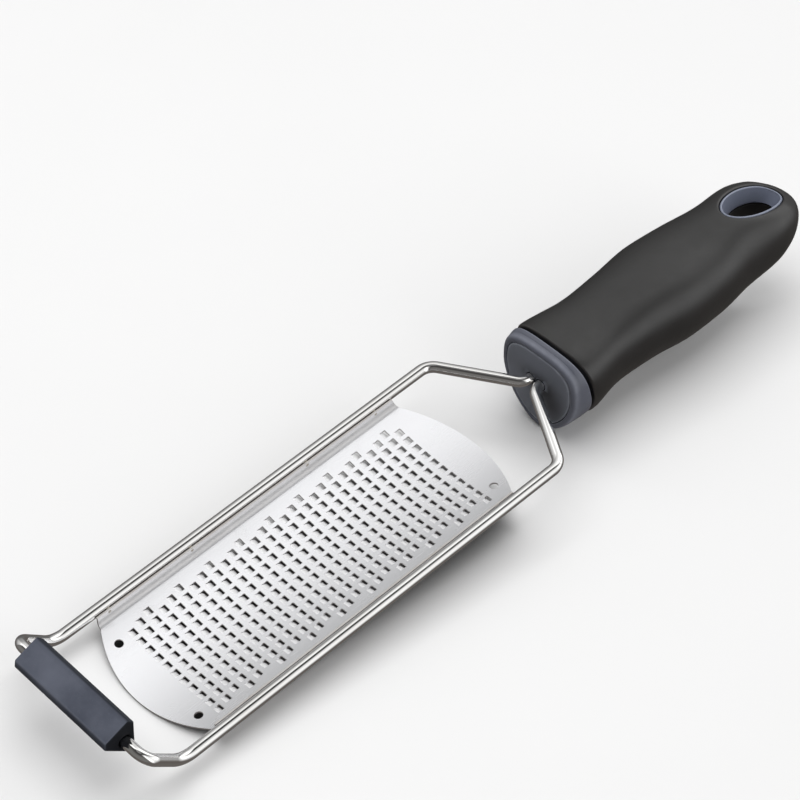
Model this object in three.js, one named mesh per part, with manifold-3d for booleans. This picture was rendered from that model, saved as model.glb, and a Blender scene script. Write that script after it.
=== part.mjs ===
// Flat citrus zester: a bent steel rod frame carries a shallow trough of
// punched sheet, a soft rubber foot at the far end and a moulded handle.
// Millimetres, +Z up. The tool lies hollow side up, as it rests on a table:
// on the belly of the handle and on the far end of the sheet.
import * as THREE from 'three';
import { mergeVertices } from 'three/addons/utils/BufferGeometryUtils.js';
import Module from 'manifold-3d';

// ---------------------------------------------------------------- dimensions
// Tool axes: X along the tool toward the handle, Y across, Z out of the hollow
// side of the sheet. X = 0 is near the middle of the sheet.
const REST_PITCH = 5.08;          // degrees the handle end is raised at rest

// punched sheet
const SHEET_X = -0.35;            // middle of the sheet along the tool
const SHEET_T = 0.55;             // sheet thickness
const CROWN = 0.00435;            // trough: z = CROWN * y * y
const SHEET_HALF_W = 24.9;        // sheet half width up to the flange bend
const END_APEX = 65.8;            // bowed ends: furthest point from the middle
const END_RADIUS = 43.1;          // bowed ends: radius in plan
const ROWS = 28;                  // tooth rows along the sheet
const COLS = 11;                  // teeth in each row
const PITCH_X = 3.861;            // row spacing
const PITCH_Y = 3.75;             // tooth spacing
const TOOTH_X = 2.3;              // tooth opening along the tool
const TOOTH_Y = 2.45;             // tooth opening across the tool
const FLANGE_HALF_L = 58.3;       // side flange half length
const FLANGE_TOP = 6.3;           // side flange upper edge
const FLANGE_IN = 25.55;          // side flange inner face
const ROUND_HOLE_D = 2.75;        // round holes near the corners
const ROUND_HOLE_X = 57.4;
const ROUND_HOLE_Y = 17.46;

// rod frame
const ROD_R = 1.8;
const RAIL_Y = 28.27;
const RAIL_Z = 5.72;
const TANG_Y = 2.05;              // the two rod ends lie side by side
const TANG_END_X = 140.0;
const ENTRY_X = 89.5;             // corner where a leg turns into its tang
const LEG_X = 73.9;               // corner where a rail turns into its leg
const RAMP_X = -72.13;            // corner where a rail turns up to the foot
const BAR_X = -83.2;              // cross bar
const BAR_Z = 17.5;
const ENTRY_BEND = 4.5;
const LEG_BEND = 5.6;
const RAMP_BEND = 9.5;
const BAR_BEND = 4.15;
const ROD_SIDES = 12;

// foot sleeve: section across the cross bar, x and z
const FOOT_HALF_L = 19.8;
const FOOT_EDGE_R = 0.9;
const FOOT_SECTION = [
  [-89.3, 22.35], [-89.95, 19.8], [-82.6, 11.95],
  [-80.3, 14.5], [-79.3, 22.75], [-81.0, 25.05],
];

// handle sections: x, half width, height above and depth below the widest
// level, widest level, exponents of the upper and lower halves
const HANDLE = [
  [90.0, 16.05, 12.8, 20.35, 5.06, 3.27, 1.71],
  [99.0, 16.05, 12.8, 20.35, 5.06, 3.27, 1.71],
  [102.0, 16.48, 12.5, 20.8, 5.06, 3.27, 1.71],
  [117.2, 14.56, 11.7, 18.35, 5.06, 3.1, 1.73],
  [133.1, 15.37, 12.53, 18.8, 4.9, 2.9, 1.78],
  [147.2, 17.04, 13.25, 20.05, 4.3, 2.7, 1.82],
  [162.2, 16.2, 13.15, 20.0, 3.6, 2.55, 1.9],
  [177.2, 14.15, 14.3, 17.44, 2.75, 2.35, 2.0],
  [189.4, 14.1, 11.8, 16.0, 2.6, 3.0, 2.05],
  [195.0, 12.85, 9.9, 12.8, 2.45, 3.1, 2.1],
  [197.8, 11.7, 8.75, 11.3, 2.35, 3.2, 2.1],
  [201.6, 9.4, 6.55, 9.0, 2.25, 3.1, 2.1],
  [204.4, 6.65, 4.7, 6.6, 2.2, 2.8, 2.1],
  [206.1, 3.95, 3.0, 4.1, 2.15, 2.4, 2.0],
  [207.2, 1.2, 0.85, 1.1, 2.1, 2.0, 2.0],
];
const COLLAR_FRONT_X = 94.0;      // front rim of the collar
const COLLAR_FRONT_LEAN = 0.053;  // lean of the rim: dx per dz
const COLLAR_BACK_X = 100.0;      // back edge of the collar band
const COLLAR_BACK_LEAN = -0.176;  // the band widens toward the belly
const PLUG_SCALE = 0.834;         // plug outline relative to the handle section
const PLUG_FRONT_X = 91.9;         // tip of the plug's shallow cone
const PLUG_BACK_X = 98.4;
const SLEEVE_GAP = 1.2;           // shadow groove between band and sleeve
const SLEEVE_WALL = 2.6;          // soft sleeve over the hard core
const CORE_END_X = 172.0;
const FIT = 0.3;                  // clearance where two pieces meet

// hanging hole
const HANG_X = 189.0;
const HANG_RIM = [12.0, 6.2];     // liner bore half axes at the upper surface
const HANG_STEP = [9.6, 6.0];     // liner bore half axes at its lower end
const HANG_STEP_Z = 6.2;          // level of the liner's lower end
const HANG_TILT = 0.176;          // lower end slopes with the upper surface: dz per dx
const HANG_LOW = [9.2, 5.7];      // sleeve bore half axes below the liner
const HANG_FOOT = [10.8, 6.6];    // sleeve bore half axes at the lower surface
const HANG_WALL = 0.8;            // liner wall
const HANG_SINK = 0.5;            // liner rim lies below the sleeve surface

// ------------------------------------------------------------------- helpers
const wasm = await Module();
wasm.setup();

function positionsOnly(geometry) {
  const g = new THREE.BufferGeometry();
  g.setAttribute('position', geometry.getAttribute('position').clone());
  if (geometry.index) g.setIndex(geometry.index.clone());
  return mergeVertices(g, 1e-4);
}

// drops triangles that collapsed to a line after merging
function tidy(geometry) {
  const g = positionsOnly(geometry);
  const idx = g.index.array;
  const keep = [];
  for (let i = 0; i < idx.length; i += 3) {
    const [a, b, c] = [idx[i], idx[i + 1], idx[i + 2]];
    if (a !== b && b !== c && c !== a) keep.push(a, b, c);
  }
  g.setIndex(keep);
  return g;
}

function toSolid(geometry) {
  const g = tidy(geometry);
  return new wasm.Manifold(new wasm.Mesh({
    numProp: 3,
    vertProperties: new Float32Array(g.getAttribute('position').array),
    triVerts: new Uint32Array(g.index.array),
  }));
}

function toGeometry(solid) {
  const mesh = solid.getMesh();
  const g = new THREE.BufferGeometry();
  const np = mesh.numProp;
  const n = mesh.vertProperties.length / np;
  const pos = new Float32Array(n * 3);
  for (let i = 0; i < n; i++) {
    for (let k = 0; k < 3; k++) pos[i * 3 + k] = mesh.vertProperties[i * np + k];
  }
  g.setAttribute('position', new THREE.BufferAttribute(pos, 3));
  g.setIndex(Array.from(mesh.triVerts));
  return g;
}

const lerp = (a, b, t) => a + (b - a) * t;

// handle section at x: monotone cubic through the table
function handleSection(x) {
  const T = HANDLE;
  const n = T.length;
  if (x <= T[0][0]) x = T[0][0];
  if (x >= T[n - 1][0]) x = T[n - 1][0];
  let i = 0;
  while (i < n - 2 && x > T[i + 1][0]) i++;
  const out = [];
  const slope = (j, c) => (T[j + 1][c] - T[j][c]) / (T[j + 1][0] - T[j][0]);
  const tangent = (j, c) => {
    if (j === 0) return slope(0, c);
    if (j === n - 1) return slope(n - 2, c);
    const a = slope(j - 1, c);
    const b = slope(j, c);
    return a * b <= 0 ? 0 : (2 * a * b) / (a + b);
  };
  const h = T[i + 1][0] - T[i][0];
  const t = (x - T[i][0]) / h;
  for (let c = 1; c < 7; c++) {
    const m0 = tangent(i, c) * h;
    const m1 = tangent(i + 1, c) * h;
    const t2 = t * t;
    const t3 = t2 * t;
    out.push((2 * t3 - 3 * t2 + 1) * T[i][c] + (t3 - 2 * t2 + t) * m0
      + (-2 * t3 + 3 * t2) * T[i + 1][c] + (t3 - t2) * m1);
  }
  const [a, top, low, level, nTop, nLow] = out;
  return { a, top, low, level, nTop, nLow };
}

// radius of the two-halved superellipse in direction phi
function sectionRadius(s, phi) {
  const c = Math.abs(Math.cos(phi));
  const d = Math.abs(Math.sin(phi));
  const up = Math.sin(phi) >= 0;
  const n = up ? s.nTop : s.nLow;
  const b = up ? s.top : s.low;
  return 1 / Math.pow(Math.pow(c / s.a, n) + Math.pow(d / b, n), 1 / n);
}

// closed body lofted along X through the handle sections
// station: { x, at, k, inset, lean }
function handleLoft(stations, radial) {
  const n = stations.length - 1;
  const g = new THREE.CylinderGeometry(1, 1, 1, radial, n, false, Math.PI / radial);
  const p = g.getAttribute('position');
  for (let i = 0; i < p.count; i++) {
    const st = stations[Math.round((0.5 - p.getY(i)) * n)];
    const r = Math.hypot(p.getX(i), p.getZ(i)) > 0.5 ? 1 : 0;
    const phi = Math.atan2(p.getZ(i), p.getX(i));
    const s = handleSection(st.at ?? st.x);
    const inset = st.inset ?? 0;
    s.a -= inset;
    s.top -= inset;
    s.low -= inset;
    const rad = r * (st.k ?? 1) * sectionRadius(s, phi);
    const dz = rad * Math.sin(phi);
    p.setXYZ(i, st.x + (st.lean ?? 0) * dz, rad * Math.cos(phi), s.level + dz);
  }
  return g;
}

// closed upright oval body through rings { z, ax, ay, tilt }
function ovalLoft(cx, rings, radial) {
  const n = rings.length - 1;
  const g = new THREE.CylinderGeometry(1, 1, 1, radial, n, false);
  const p = g.getAttribute('position');
  for (let i = 0; i < p.count; i++) {
    const st = rings[Math.round((0.5 - p.getY(i)) * n)];
    const r = Math.hypot(p.getX(i), p.getZ(i)) > 0.5 ? 1 : 0;
    const phi = Math.atan2(p.getZ(i), p.getX(i));
    const dx = r * st.ax * Math.cos(phi);
    p.setXYZ(i, cx + dx, -r * st.ay * Math.sin(phi), st.z - (st.tilt ?? 0) * dx);
  }
  return g;
}

function cylinderAlongX(r, x0, x1, y, z, sides) {
  const g = new THREE.CylinderGeometry(r, r, x1 - x0, sides, 1, false);
  g.rotateZ(-Math.PI / 2);
  g.translate((x0 + x1) / 2, y, z);
  return g;
}

// ----------------------------------------------------------------- rod frame
function roundedPath(corners) {
  const pts = [];
  const n = corners.length;
  for (let i = 0; i < n; i++) {
    const P = new THREE.Vector3(...corners[i].p);
    if (i === 0 || i === n - 1) {
      pts.push(P);
      continue;
    }
    const A = new THREE.Vector3(...corners[i - 1].p).sub(P).normalize();
    const B = new THREE.Vector3(...corners[i + 1].p).sub(P).normalize();
    const half = A.angleTo(B) / 2;
    const r = corners[i].r;
    const reach = r / Math.tan(half);
    const centre = A.clone().add(B).normalize().multiplyScalar(r / Math.sin(half)).add(P);
    const u = A.clone().multiplyScalar(reach).add(P).sub(centre);
    const v = B.clone().multiplyScalar(reach).add(P).sub(centre);
    const turn = u.angleTo(v);
    const steps = Math.max(3, Math.round(turn / (12 * Math.PI / 180)));
    for (let k = 0; k <= steps; k++) {
      const t = k / steps;
      const w = u.clone().multiplyScalar(Math.sin((1 - t) * turn) / Math.sin(turn))
        .add(v.clone().multiplyScalar(Math.sin(t * turn) / Math.sin(turn)));
      pts.push(w.add(centre));
    }
  }
  return pts;
}

class StationPath extends THREE.Curve {
  constructor(points) {
    super();
    this.points = points;
  }

  getPoint(t, target = new THREE.Vector3()) {
    const n = this.points.length - 1;
    const f = Math.min(Math.max(t, 0), 1) * n;
    const i = Math.min(Math.floor(f + 1e-9), n - 1);
    return target.copy(this.points[i]).lerp(this.points[i + 1], f - i);
  }

  getPointAt(u, target) {
    return this.getPoint(u, target);
  }

  getTangent(t, target = new THREE.Vector3()) {
    const n = this.points.length - 1;
    const j = Math.min(Math.max(Math.round(t * n), 0), n);
    const d = new THREE.Vector3();
    if (j > 0) d.add(this.points[j].clone().sub(this.points[j - 1]).normalize());
    if (j < n) d.add(this.points[j + 1].clone().sub(this.points[j]).normalize());
    return target.copy(d.normalize());
  }

  getTangentAt(u, target) {
    return this.getTangent(u, target);
  }
}

function rodFrame() {
  const side = (s) => [
    { p: [TANG_END_X, s * TANG_Y, RAIL_Z] },
    { p: [ENTRY_X, s * TANG_Y, RAIL_Z], r: ENTRY_BEND },
    { p: [LEG_X, s * RAIL_Y, RAIL_Z], r: LEG_BEND },
    { p: [RAMP_X, s * RAIL_Y, RAIL_Z], r: RAMP_BEND },
    { p: [BAR_X, s * RAIL_Y, BAR_Z], r: BAR_BEND },
  ];
  const corners = [...side(1), ...side(-1).reverse()];
  const pts = roundedPath(corners);
  const ring = new THREE.Shape();
  for (let i = 0; i < ROD_SIDES; i++) {
    const a = ((i + 0.5) / ROD_SIDES) * Math.PI * 2;
    const r = ROD_R;
    if (i === 0) ring.moveTo(r * Math.cos(a), r * Math.sin(a));
    else ring.lineTo(r * Math.cos(a), r * Math.sin(a));
  }
  ring.closePath();
  return new THREE.ExtrudeGeometry(ring, {
    steps: pts.length - 1,
    bevelEnabled: false,
    extrudePath: new StationPath(pts),
    curveSegments: 1,
  });
}

// ------------------------------------------------------------- punched sheet
const troughZ = (y) => CROWN * y * y;
const endX = (y) => END_APEX - END_RADIUS + Math.sqrt(END_RADIUS * END_RADIUS - y * y);

function sheetGrid() {
  const pos = [];
  const tri = [];
  const vert = (x, y, low) => {
    pos.push(x, y, troughZ(y) - (low ? SHEET_T : 0));
    return pos.length / 3 - 1;
  };
  const makeLine = (ys, xOf) => {
    const line = ys.map((y) => ({
      y, top: vert(xOf(y), y, false), low: vert(xOf(y), y, true),
    }));
    return line;
  };
  const face = (a, b, c) => tri.push(a, b, c);
  // fills between two lines (first one at the smaller x) over a span of y
  const fill = (p, q) => {
    let i = 0;
    let j = 0;
    while (i < p.length - 1 || j < q.length - 1) {
      const stepP = i < p.length - 1
        && (j === q.length - 1 || p[i + 1].y <= q[j + 1].y);
      if (stepP) {
        face(p[i].top, q[j].top, p[i + 1].top);
        face(p[i].low, p[i + 1].low, q[j].low);
        i++;
      } else {
        face(p[i].top, q[j].top, q[j + 1].top);
        face(p[i].low, q[j + 1].low, q[j].low);
        j++;
      }
    }
  };
  // wall along y between neighbours of a line; sign tells the open side
  const wallAlongY = (a, b, openAtHighX) => {
    if (openAtHighX) {
      face(a.top, a.low, b.top);
      face(b.top, a.low, b.low);
    } else {
      face(a.top, b.top, a.low);
      face(b.top, b.low, a.low);
    }
  };
  const wallAlongX = (a, b, openAtHighY) => {
    if (openAtHighY) {
      face(a.top, b.top, a.low);
      face(b.top, b.low, a.low);
    } else {
      face(a.top, a.low, b.top);
      face(b.top, a.low, b.low);
    }
  };
  const W = SHEET_HALF_W;
  const lines = [];
  const endYs = [];
  for (let i = 0; i <= 18; i++) endYs.push(-W + (2 * W * i) / 18);
  const rowX = (r) => SHEET_X + (r - (ROWS - 1) / 2) * PITCH_X;
  const rowBreaks = (r) => {
    const ys = [-W];
    for (let k = 0; k < COLS; k++) {
      const c = ((k - (COLS - 1) / 2) + ((r % 3) - 1) / 3) * PITCH_Y;
      ys.push(c - TOOTH_Y / 2, c + TOOTH_Y / 2);
    }
    ys.push(W);
    return ys;
  };
  const x0 = rowX(0) - TOOTH_X / 2;
  const x1 = rowX(ROWS - 1) + TOOTH_X / 2;
  for (const t of [1, 0.6, 0.25]) {
    lines.push({ pts: makeLine(endYs, (y) => lerp(x0, SHEET_X - endX(y), t)), row: -1 });
  }
  for (let r = 0; r < ROWS; r++) {
    const ys = rowBreaks(r);
    lines.push({ pts: makeLine(ys, () => rowX(r) - TOOTH_X / 2), row: r });
    lines.push({ pts: makeLine(ys, () => rowX(r) + TOOTH_X / 2), row: -1 });
  }
  for (const t of [0.25, 0.6, 1]) {
    lines.push({ pts: makeLine(endYs, (y) => lerp(x1, SHEET_X + endX(y), t)), row: -1 });
  }
  for (let n = 0; n < lines.length - 1; n++) {
    const a = lines[n];
    const b = lines[n + 1];
    if (a.row >= 0) {
      // solid bars between the tooth openings of one row
      for (let k = 0; k < a.pts.length; k += 2) {
        fill([a.pts[k], a.pts[k + 1]], [b.pts[k], b.pts[k + 1]]);
        if (k > 0) wallAlongX(a.pts[k], b.pts[k], false);
        if (k + 2 < a.pts.length) wallAlongX(a.pts[k + 1], b.pts[k + 1], true);
      }
      for (let k = 1; k + 1 < a.pts.length; k += 2) {
        wallAlongY(a.pts[k], a.pts[k + 1], true);
        wallAlongY(b.pts[k], b.pts[k + 1], false);
      }
    } else {
      fill(a.pts, b.pts);
    }
    wallAlongX(a.pts[0], b.pts[0], false);
    wallAlongX(a.pts[a.pts.length - 1], b.pts[b.pts.length - 1], true);
  }
  const first = lines[0].pts;
  const last = lines[lines.length - 1].pts;
  for (let k = 0; k + 1 < first.length; k++) wallAlongY(first[k], first[k + 1], false);
  for (let k = 0; k + 1 < last.length; k++) wallAlongY(last[k], last[k + 1], true);
  const g = new THREE.BufferGeometry();
  g.setAttribute('position', new THREE.BufferAttribute(new Float32Array(pos), 3));
  g.setIndex(tri);
  return g;
}

function flange(sign) {
  const zt = troughZ;
  const T = SHEET_T;
  const W = SHEET_HALF_W;
  const inner = [
    [W - 0.6, zt(W - 0.6) - 0.03], [W + 0.15, zt(W + 0.15)],
    [W + 0.45, zt(W) + 0.3], [FLANGE_IN, zt(W) + 0.85], [FLANGE_IN, FLANGE_TOP],
  ];
  const outer = [
    [FLANGE_IN + T, FLANGE_TOP], [FLANGE_IN + T, zt(W) + 0.6],
    [W + 0.75, zt(W) - 0.25], [W + 0.2, zt(W) - T + 0.02], [W - 0.6, zt(W - 0.6) - T + 0.03],
  ];
  const shape = new THREE.Shape();
  [...inner, ...outer].forEach(([y, z], i) => {
    if (i === 0) shape.moveTo(y, z);
    else shape.lineTo(y, z);
  });
  shape.closePath();
  const g = new THREE.ExtrudeGeometry(shape, { depth: 2 * FLANGE_HALF_L, bevelEnabled: false });
  // section plane (y, z), pulled along x
  const m = new THREE.Matrix4().set(
    0, 0, 1, SHEET_X - FLANGE_HALF_L,
    1, 0, 0, 0,
    0, 1, 0, 0,
    0, 0, 0, 1,
  );
  g.applyMatrix4(m);
  if (sign < 0) g.rotateZ(Math.PI);
  if (sign < 0) g.translate(2 * SHEET_X, 0, 0);
  return g;
}

function graterPlate() {
  let solid = toSolid(sheetGrid());
  solid = solid.add(toSolid(flange(1))).add(toSolid(flange(-1)));
  for (const [sx, sy] of [[-1, 1], [-1, -1], [1, -1]]) {
    const drill = new THREE.CylinderGeometry(ROUND_HOLE_D / 2, ROUND_HOLE_D / 2, 8, 20, 1, false);
    drill.rotateX(Math.PI / 2);
    drill.translate(SHEET_X + sx * ROUND_HOLE_X, sy * ROUND_HOLE_Y, 1);
    solid = solid.subtract(toSolid(drill));
  }
  return toGeometry(solid);
}

// --------------------------------------------------------------- foot sleeve
function footSection() {
  const c = FOOT_SECTION;
  const n = c.length;
  const pts = [];
  for (let i = 0; i < n; i++) {
    const P = new THREE.Vector2(...c[i]);
    const A = new THREE.Vector2(...c[(i + n - 1) % n]).sub(P).normalize();
    const B = new THREE.Vector2(...c[(i + 1) % n]).sub(P).normalize();
    const reach = Math.min(FOOT_EDGE_R / Math.tan(Math.acos(A.dot(B)) / 2), 1.0);
    const S = A.multiplyScalar(reach).add(P);
    const E = B.multiplyScalar(reach).add(P);
    for (let k = 0; k <= 4; k++) {
      const t = k / 4;
      pts.push([
        (1 - t) * (1 - t) * S.x + 2 * t * (1 - t) * P.x + t * t * E.x,
        (1 - t) * (1 - t) * S.y + 2 * t * (1 - t) * P.y + t * t * E.y,
      ]);
    }
  }
  return pts;
}

function footSleeve() {
  const section = footSection();
  const n = section.length;
  const cx = section.reduce((q, p) => q + p[0], 0) / n;
  const cz = section.reduce((q, p) => q + p[1], 0) / n;
  const L = FOOT_HALF_L;
  // rings along y: position and size of the section
  const rings = [[-L, 0.87], [-L + 0.3, 0.95], [-L + 0.95, 1], [L - 0.95, 1], [L - 0.3, 0.95], [L, 0.87]];
  const m = rings.length - 1;
  const g = new THREE.CylinderGeometry(1, 1, 1, n, m, false);
  const p = g.getAttribute('position');
  for (let i = 0; i < p.count; i++) {
    const [y, k] = rings[Math.round((p.getY(i) + 0.5) * m)];
    const r = Math.hypot(p.getX(i), p.getZ(i)) > 0.5 ? k : 0;
    const turn = Math.atan2(p.getX(i), p.getZ(i)) / (2 * Math.PI);
    const q = section[(2 * n - Math.round(turn * n)) % n];
    p.setXYZ(i, cx + r * (q[0] - cx), y, cz + r * (q[1] - cz));
  }
  const bore = new THREE.CylinderGeometry(ROD_R + FIT, ROD_R + FIT, 2 * L + 4, 20, 1, false);
  bore.translate(BAR_X, 0, BAR_Z);
  return toGeometry(toSolid(g).subtract(toSolid(bore)));
}

// -------------------------------------------------------------------- handle
function tangBores(x0, x1) {
  return toSolid(cylinderAlongX(ROD_R + FIT, x0, x1, TANG_Y, RAIL_Z, 16))
    .add(toSolid(cylinderAlongX(ROD_R + FIT, x0, x1, -TANG_Y, RAIL_Z, 16)));
}

const RADIAL = 28;

function handleCore() {
  const f = COLLAR_FRONT_X;
  const b = COLLAR_BACK_X;
  const fl = COLLAR_FRONT_LEAN;
  const bl = COLLAR_BACK_LEAN;
  const under = SLEEVE_WALL + FIT;
  const stations = [
    { x: f - 0.95, at: f, k: 0.79, lean: fl },
    { x: f - 0.6, at: f, k: 0.9, lean: fl },
    { x: f - 0.1, at: f, k: 0.965, lean: fl },
    { x: f + 0.9, at: f, k: 0.995, lean: fl },
    { x: f + 2.2, at: f, k: 1, lean: lerp(fl, bl, 0.25) },
    { x: b - 0.6, at: f, k: 1, lean: bl },
    { x: b, at: f, k: 0.975, lean: bl },
    { x: b + 0.05, inset: under, lean: bl },
    { x: b + 5, inset: under, lean: bl * 0.6 },
  ];
  for (const x of [112, 120, 128, 136, 144, 152, 160, 167, CORE_END_X]) {
    stations.push({ x, inset: under });
  }
  const seat = handleLoft([
    { x: f - 6, at: f, k: PLUG_SCALE + 0.02 },
    { x: PLUG_BACK_X + FIT, at: f, k: PLUG_SCALE + 0.02 },
  ], RADIAL);
  let solid = toSolid(handleLoft(stations, RADIAL)).subtract(toSolid(seat));
  solid = solid.subtract(tangBores(f - 6, TANG_END_X + FIT));
  return toGeometry(solid);
}

function endPlug() {
  const f = PLUG_FRONT_X;
  const at = COLLAR_FRONT_X;
  const lean = COLLAR_FRONT_LEAN;
  const k = PLUG_SCALE;
  const g = handleLoft([
    { x: f, at, k: k * 0.1, lean },
    { x: f + 0.55, at, k: k * 0.5, lean },
    { x: f + 1.0, at, k: k * 0.82, lean },
    { x: f + 1.25, at, k: k * 0.955, lean },
    { x: f + 1.7, at, k, lean: 0 },
    { x: PLUG_BACK_X, at, k },
  ], RADIAL);
  return toGeometry(toSolid(g).subtract(tangBores(f - 6, PLUG_BACK_X + 3)));
}

function gripOuter(grow) {
  const front = COLLAR_BACK_X + SLEEVE_GAP;
  const bl = COLLAR_BACK_LEAN;
  const stations = [
    { x: front, inset: 0.75 - grow, lean: bl },
    { x: front + 0.25, inset: 0.2 - grow, lean: bl },
    { x: front + 0.9, inset: -grow, lean: bl },
    { x: 107, inset: -grow, lean: bl * 0.4 },
  ];
  for (const x of [112, 118, 124, 130, 136, 142, 148, 154, 160, 166, 172, 178, 184,
    189.4, 192.5, 195.4, 198.0, 200.4, 202.5, 204.4, 205.7, 206.6, 207.2]) {
    stations.push({ x, inset: -grow });
  }
  return toSolid(handleLoft(stations, RADIAL));
}

function linerRings(grow, zLow) {
  const [rx, ry] = HANG_RIM;
  const [sx, sy] = HANG_STEP;
  const run = (13 - zLow) / (13 - HANG_STEP_Z);
  return [
    { z: 22, ax: rx + 1.4 + grow, ay: ry + 0.9 + grow },
    { z: 13, ax: rx + grow, ay: ry + grow },
    { z: zLow, ax: lerp(rx, sx, run) + grow, ay: lerp(ry, sy, run) + grow, tilt: HANG_TILT },
  ];
}

function lowerBoreRings() {
  const [lx, ly] = HANG_LOW;
  const [fx, fy] = HANG_FOOT;
  return [
    { z: HANG_STEP_Z + 2.5, ax: lx, ay: ly },
    { z: -6, ax: lx, ay: ly },
    { z: -10, ax: lerp(lx, fx, 0.4), ay: lerp(ly, fy, 0.4) },
    { z: -18, ax: fx + 0.6, ay: fy + 0.4 },
  ];
}

function gripSleeve() {
  const under = SLEEVE_WALL;
  const front = COLLAR_BACK_X;
  const bl = COLLAR_BACK_LEAN;
  const stations = [
    { x: front - 6, at: front, inset: under, lean: bl },
    { x: front + 5, inset: under, lean: bl * 0.6 },
  ];
  for (const x of [112, 120, 128, 136, 144, 152, 160, 167, CORE_END_X + FIT]) {
    stations.push({ x, inset: under });
  }
  const cavity = toSolid(handleLoft(stations, RADIAL));
  const seat = toSolid(ovalLoft(HANG_X, linerRings(HANG_WALL + FIT, HANG_STEP_Z - FIT), 32));
  const bore = toSolid(ovalLoft(HANG_X, lowerBoreRings(), 32));
  return toGeometry(gripOuter(0).subtract(cavity).subtract(seat).subtract(bore));
}

function hangingLiner() {
  const body = toSolid(ovalLoft(HANG_X, linerRings(HANG_WALL, HANG_STEP_Z), 32));
  const hole = toSolid(ovalLoft(HANG_X, linerRings(0, HANG_STEP_Z - 1), 32));
  return toGeometry(body.intersect(gripOuter(-HANG_SINK)).subtract(hole));
}

// ------------------------------------------------------------------ assembly
const steel = new THREE.MeshStandardMaterial({ color: 0xd9d9dc, roughness: 0.12, metalness: 1 });
const sheetSteel = new THREE.MeshStandardMaterial({ color: 0xe6e6e8, roughness: 0.3, metalness: 1 });
const softBlack = new THREE.MeshStandardMaterial({ color: 0x232324, roughness: 0.75, metalness: 0 });
const footGrey = new THREE.MeshStandardMaterial({ color: 0x2b2f36, roughness: 0.7, metalness: 0 });
const hardGrey = new THREE.MeshStandardMaterial({ color: 0x5c606b, roughness: 0.5, metalness: 0 });
const plugGrey = new THREE.MeshStandardMaterial({ color: 0x565b66, roughness: 0.5, metalness: 0 });
const linerGrey = new THREE.MeshStandardMaterial({ color: 0x61656f, roughness: 0.45, metalness: 0 });

const part = new THREE.Group();
part.name = 'citrus_zester';
const tool = new THREE.Group();
tool.name = 'tool';
part.add(tool);

function piece(name, geometry, material) {
  const g = tidy(geometry);
  g.computeVertexNormals();
  const mesh = new THREE.Mesh(g, material);
  mesh.name = name;
  tool.add(mesh);
}

piece('wire_frame', rodFrame(), steel);
piece('grater_plate', graterPlate(), sheetSteel);
piece('foot_sleeve', footSleeve(), footGrey);
piece('handle_core', handleCore(), hardGrey);
piece('end_plug', endPlug(), plugGrey);
piece('grip_sleeve', gripSleeve(), softBlack);
piece('hanging_liner', hangingLiner(), linerGrey);

// laid down as it rests: handle end raised, centred over the origin
tool.rotation.y = -REST_PITCH * Math.PI / 180;
tool.updateMatrixWorld(true);
const box = new THREE.Box3().setFromObject(tool, true);
tool.position.set(
  -(box.min.x + box.max.x) / 2,
  -(box.min.y + box.max.y) / 2,
  -box.min.z,
);
part.updateMatrixWorld(true);

export default part;
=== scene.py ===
import math

import bmesh
import bpy
import numpy as np
from mathutils import Matrix, Vector
from mathutils.geometry import delaunay_2d_cdt


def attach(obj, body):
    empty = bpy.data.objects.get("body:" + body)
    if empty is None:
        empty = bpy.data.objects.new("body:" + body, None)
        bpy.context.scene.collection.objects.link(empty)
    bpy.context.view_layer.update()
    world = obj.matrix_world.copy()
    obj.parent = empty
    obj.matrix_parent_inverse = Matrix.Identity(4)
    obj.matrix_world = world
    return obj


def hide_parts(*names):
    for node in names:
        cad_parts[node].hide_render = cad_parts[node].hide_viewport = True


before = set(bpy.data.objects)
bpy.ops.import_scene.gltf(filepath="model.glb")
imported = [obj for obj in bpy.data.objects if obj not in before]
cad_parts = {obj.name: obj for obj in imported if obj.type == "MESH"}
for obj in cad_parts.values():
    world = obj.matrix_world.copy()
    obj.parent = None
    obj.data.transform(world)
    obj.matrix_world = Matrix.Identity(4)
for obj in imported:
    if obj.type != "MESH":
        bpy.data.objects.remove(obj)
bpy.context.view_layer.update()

scene = bpy.context.scene
MM = 0.001

# ------------------------------------------------------------------ tool frame
# Pieces are made in the tool's own axes, in millimetres: X toward the handle,
# Y across, Z out of the hollow side of the sheet. TOOL lays them at rest, and
# the materials undo it, so that grain runs along the tool.
PITCH = math.radians(5.08)
OFFSET = Vector((-57.5072749, 0.0, 6.4070467)) * MM
TOOL = Matrix.Translation(OFFSET) @ Matrix.Rotation(-PITCH, 4, "Y")
TURN = np.array(TOOL.to_3x3())

# punched sheet
SHEET_X, SHEET_T, CROWN = -0.35, 0.55, 0.00435
END_APEX, END_RADIUS = 65.8, 43.1
ROWS, COLS = 28, 11
PITCH_X, PITCH_Y = 3.861, 3.75
TOOTH_X, TOOTH_Y = 2.3, 2.45
FLANGE_TOP, FLANGE_IN, BEND_R = 6.0, 25.55, 1.7
ROUND_HOLES = [(-57.75, 17.46), (-57.75, -17.46), (57.05, -17.46)]
ROUND_HOLE_R = 1.375

# rod frame
ROD_R, RAIL_Y, RAIL_Z = 1.8, 28.27, 5.72
TANG_Y, TANG_END_X = 2.05, 140.0
ENTRY_X, LEG_X, RAMP_X, BAR_X, BAR_Z = 89.5, 73.9, -72.13, -83.2, 17.5
ENTRY_BEND, LEG_BEND, RAMP_BEND, BAR_BEND = 4.5, 5.6, 9.5, 4.15

# foot sleeve
FOOT_HALF_L = 19.8
FOOT_SECTION = [
    (-89.3, 22.35), (-89.95, 19.8), (-82.6, 11.95),
    (-80.3, 14.5), (-79.3, 22.75), (-81.0, 25.05),
]

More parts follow.
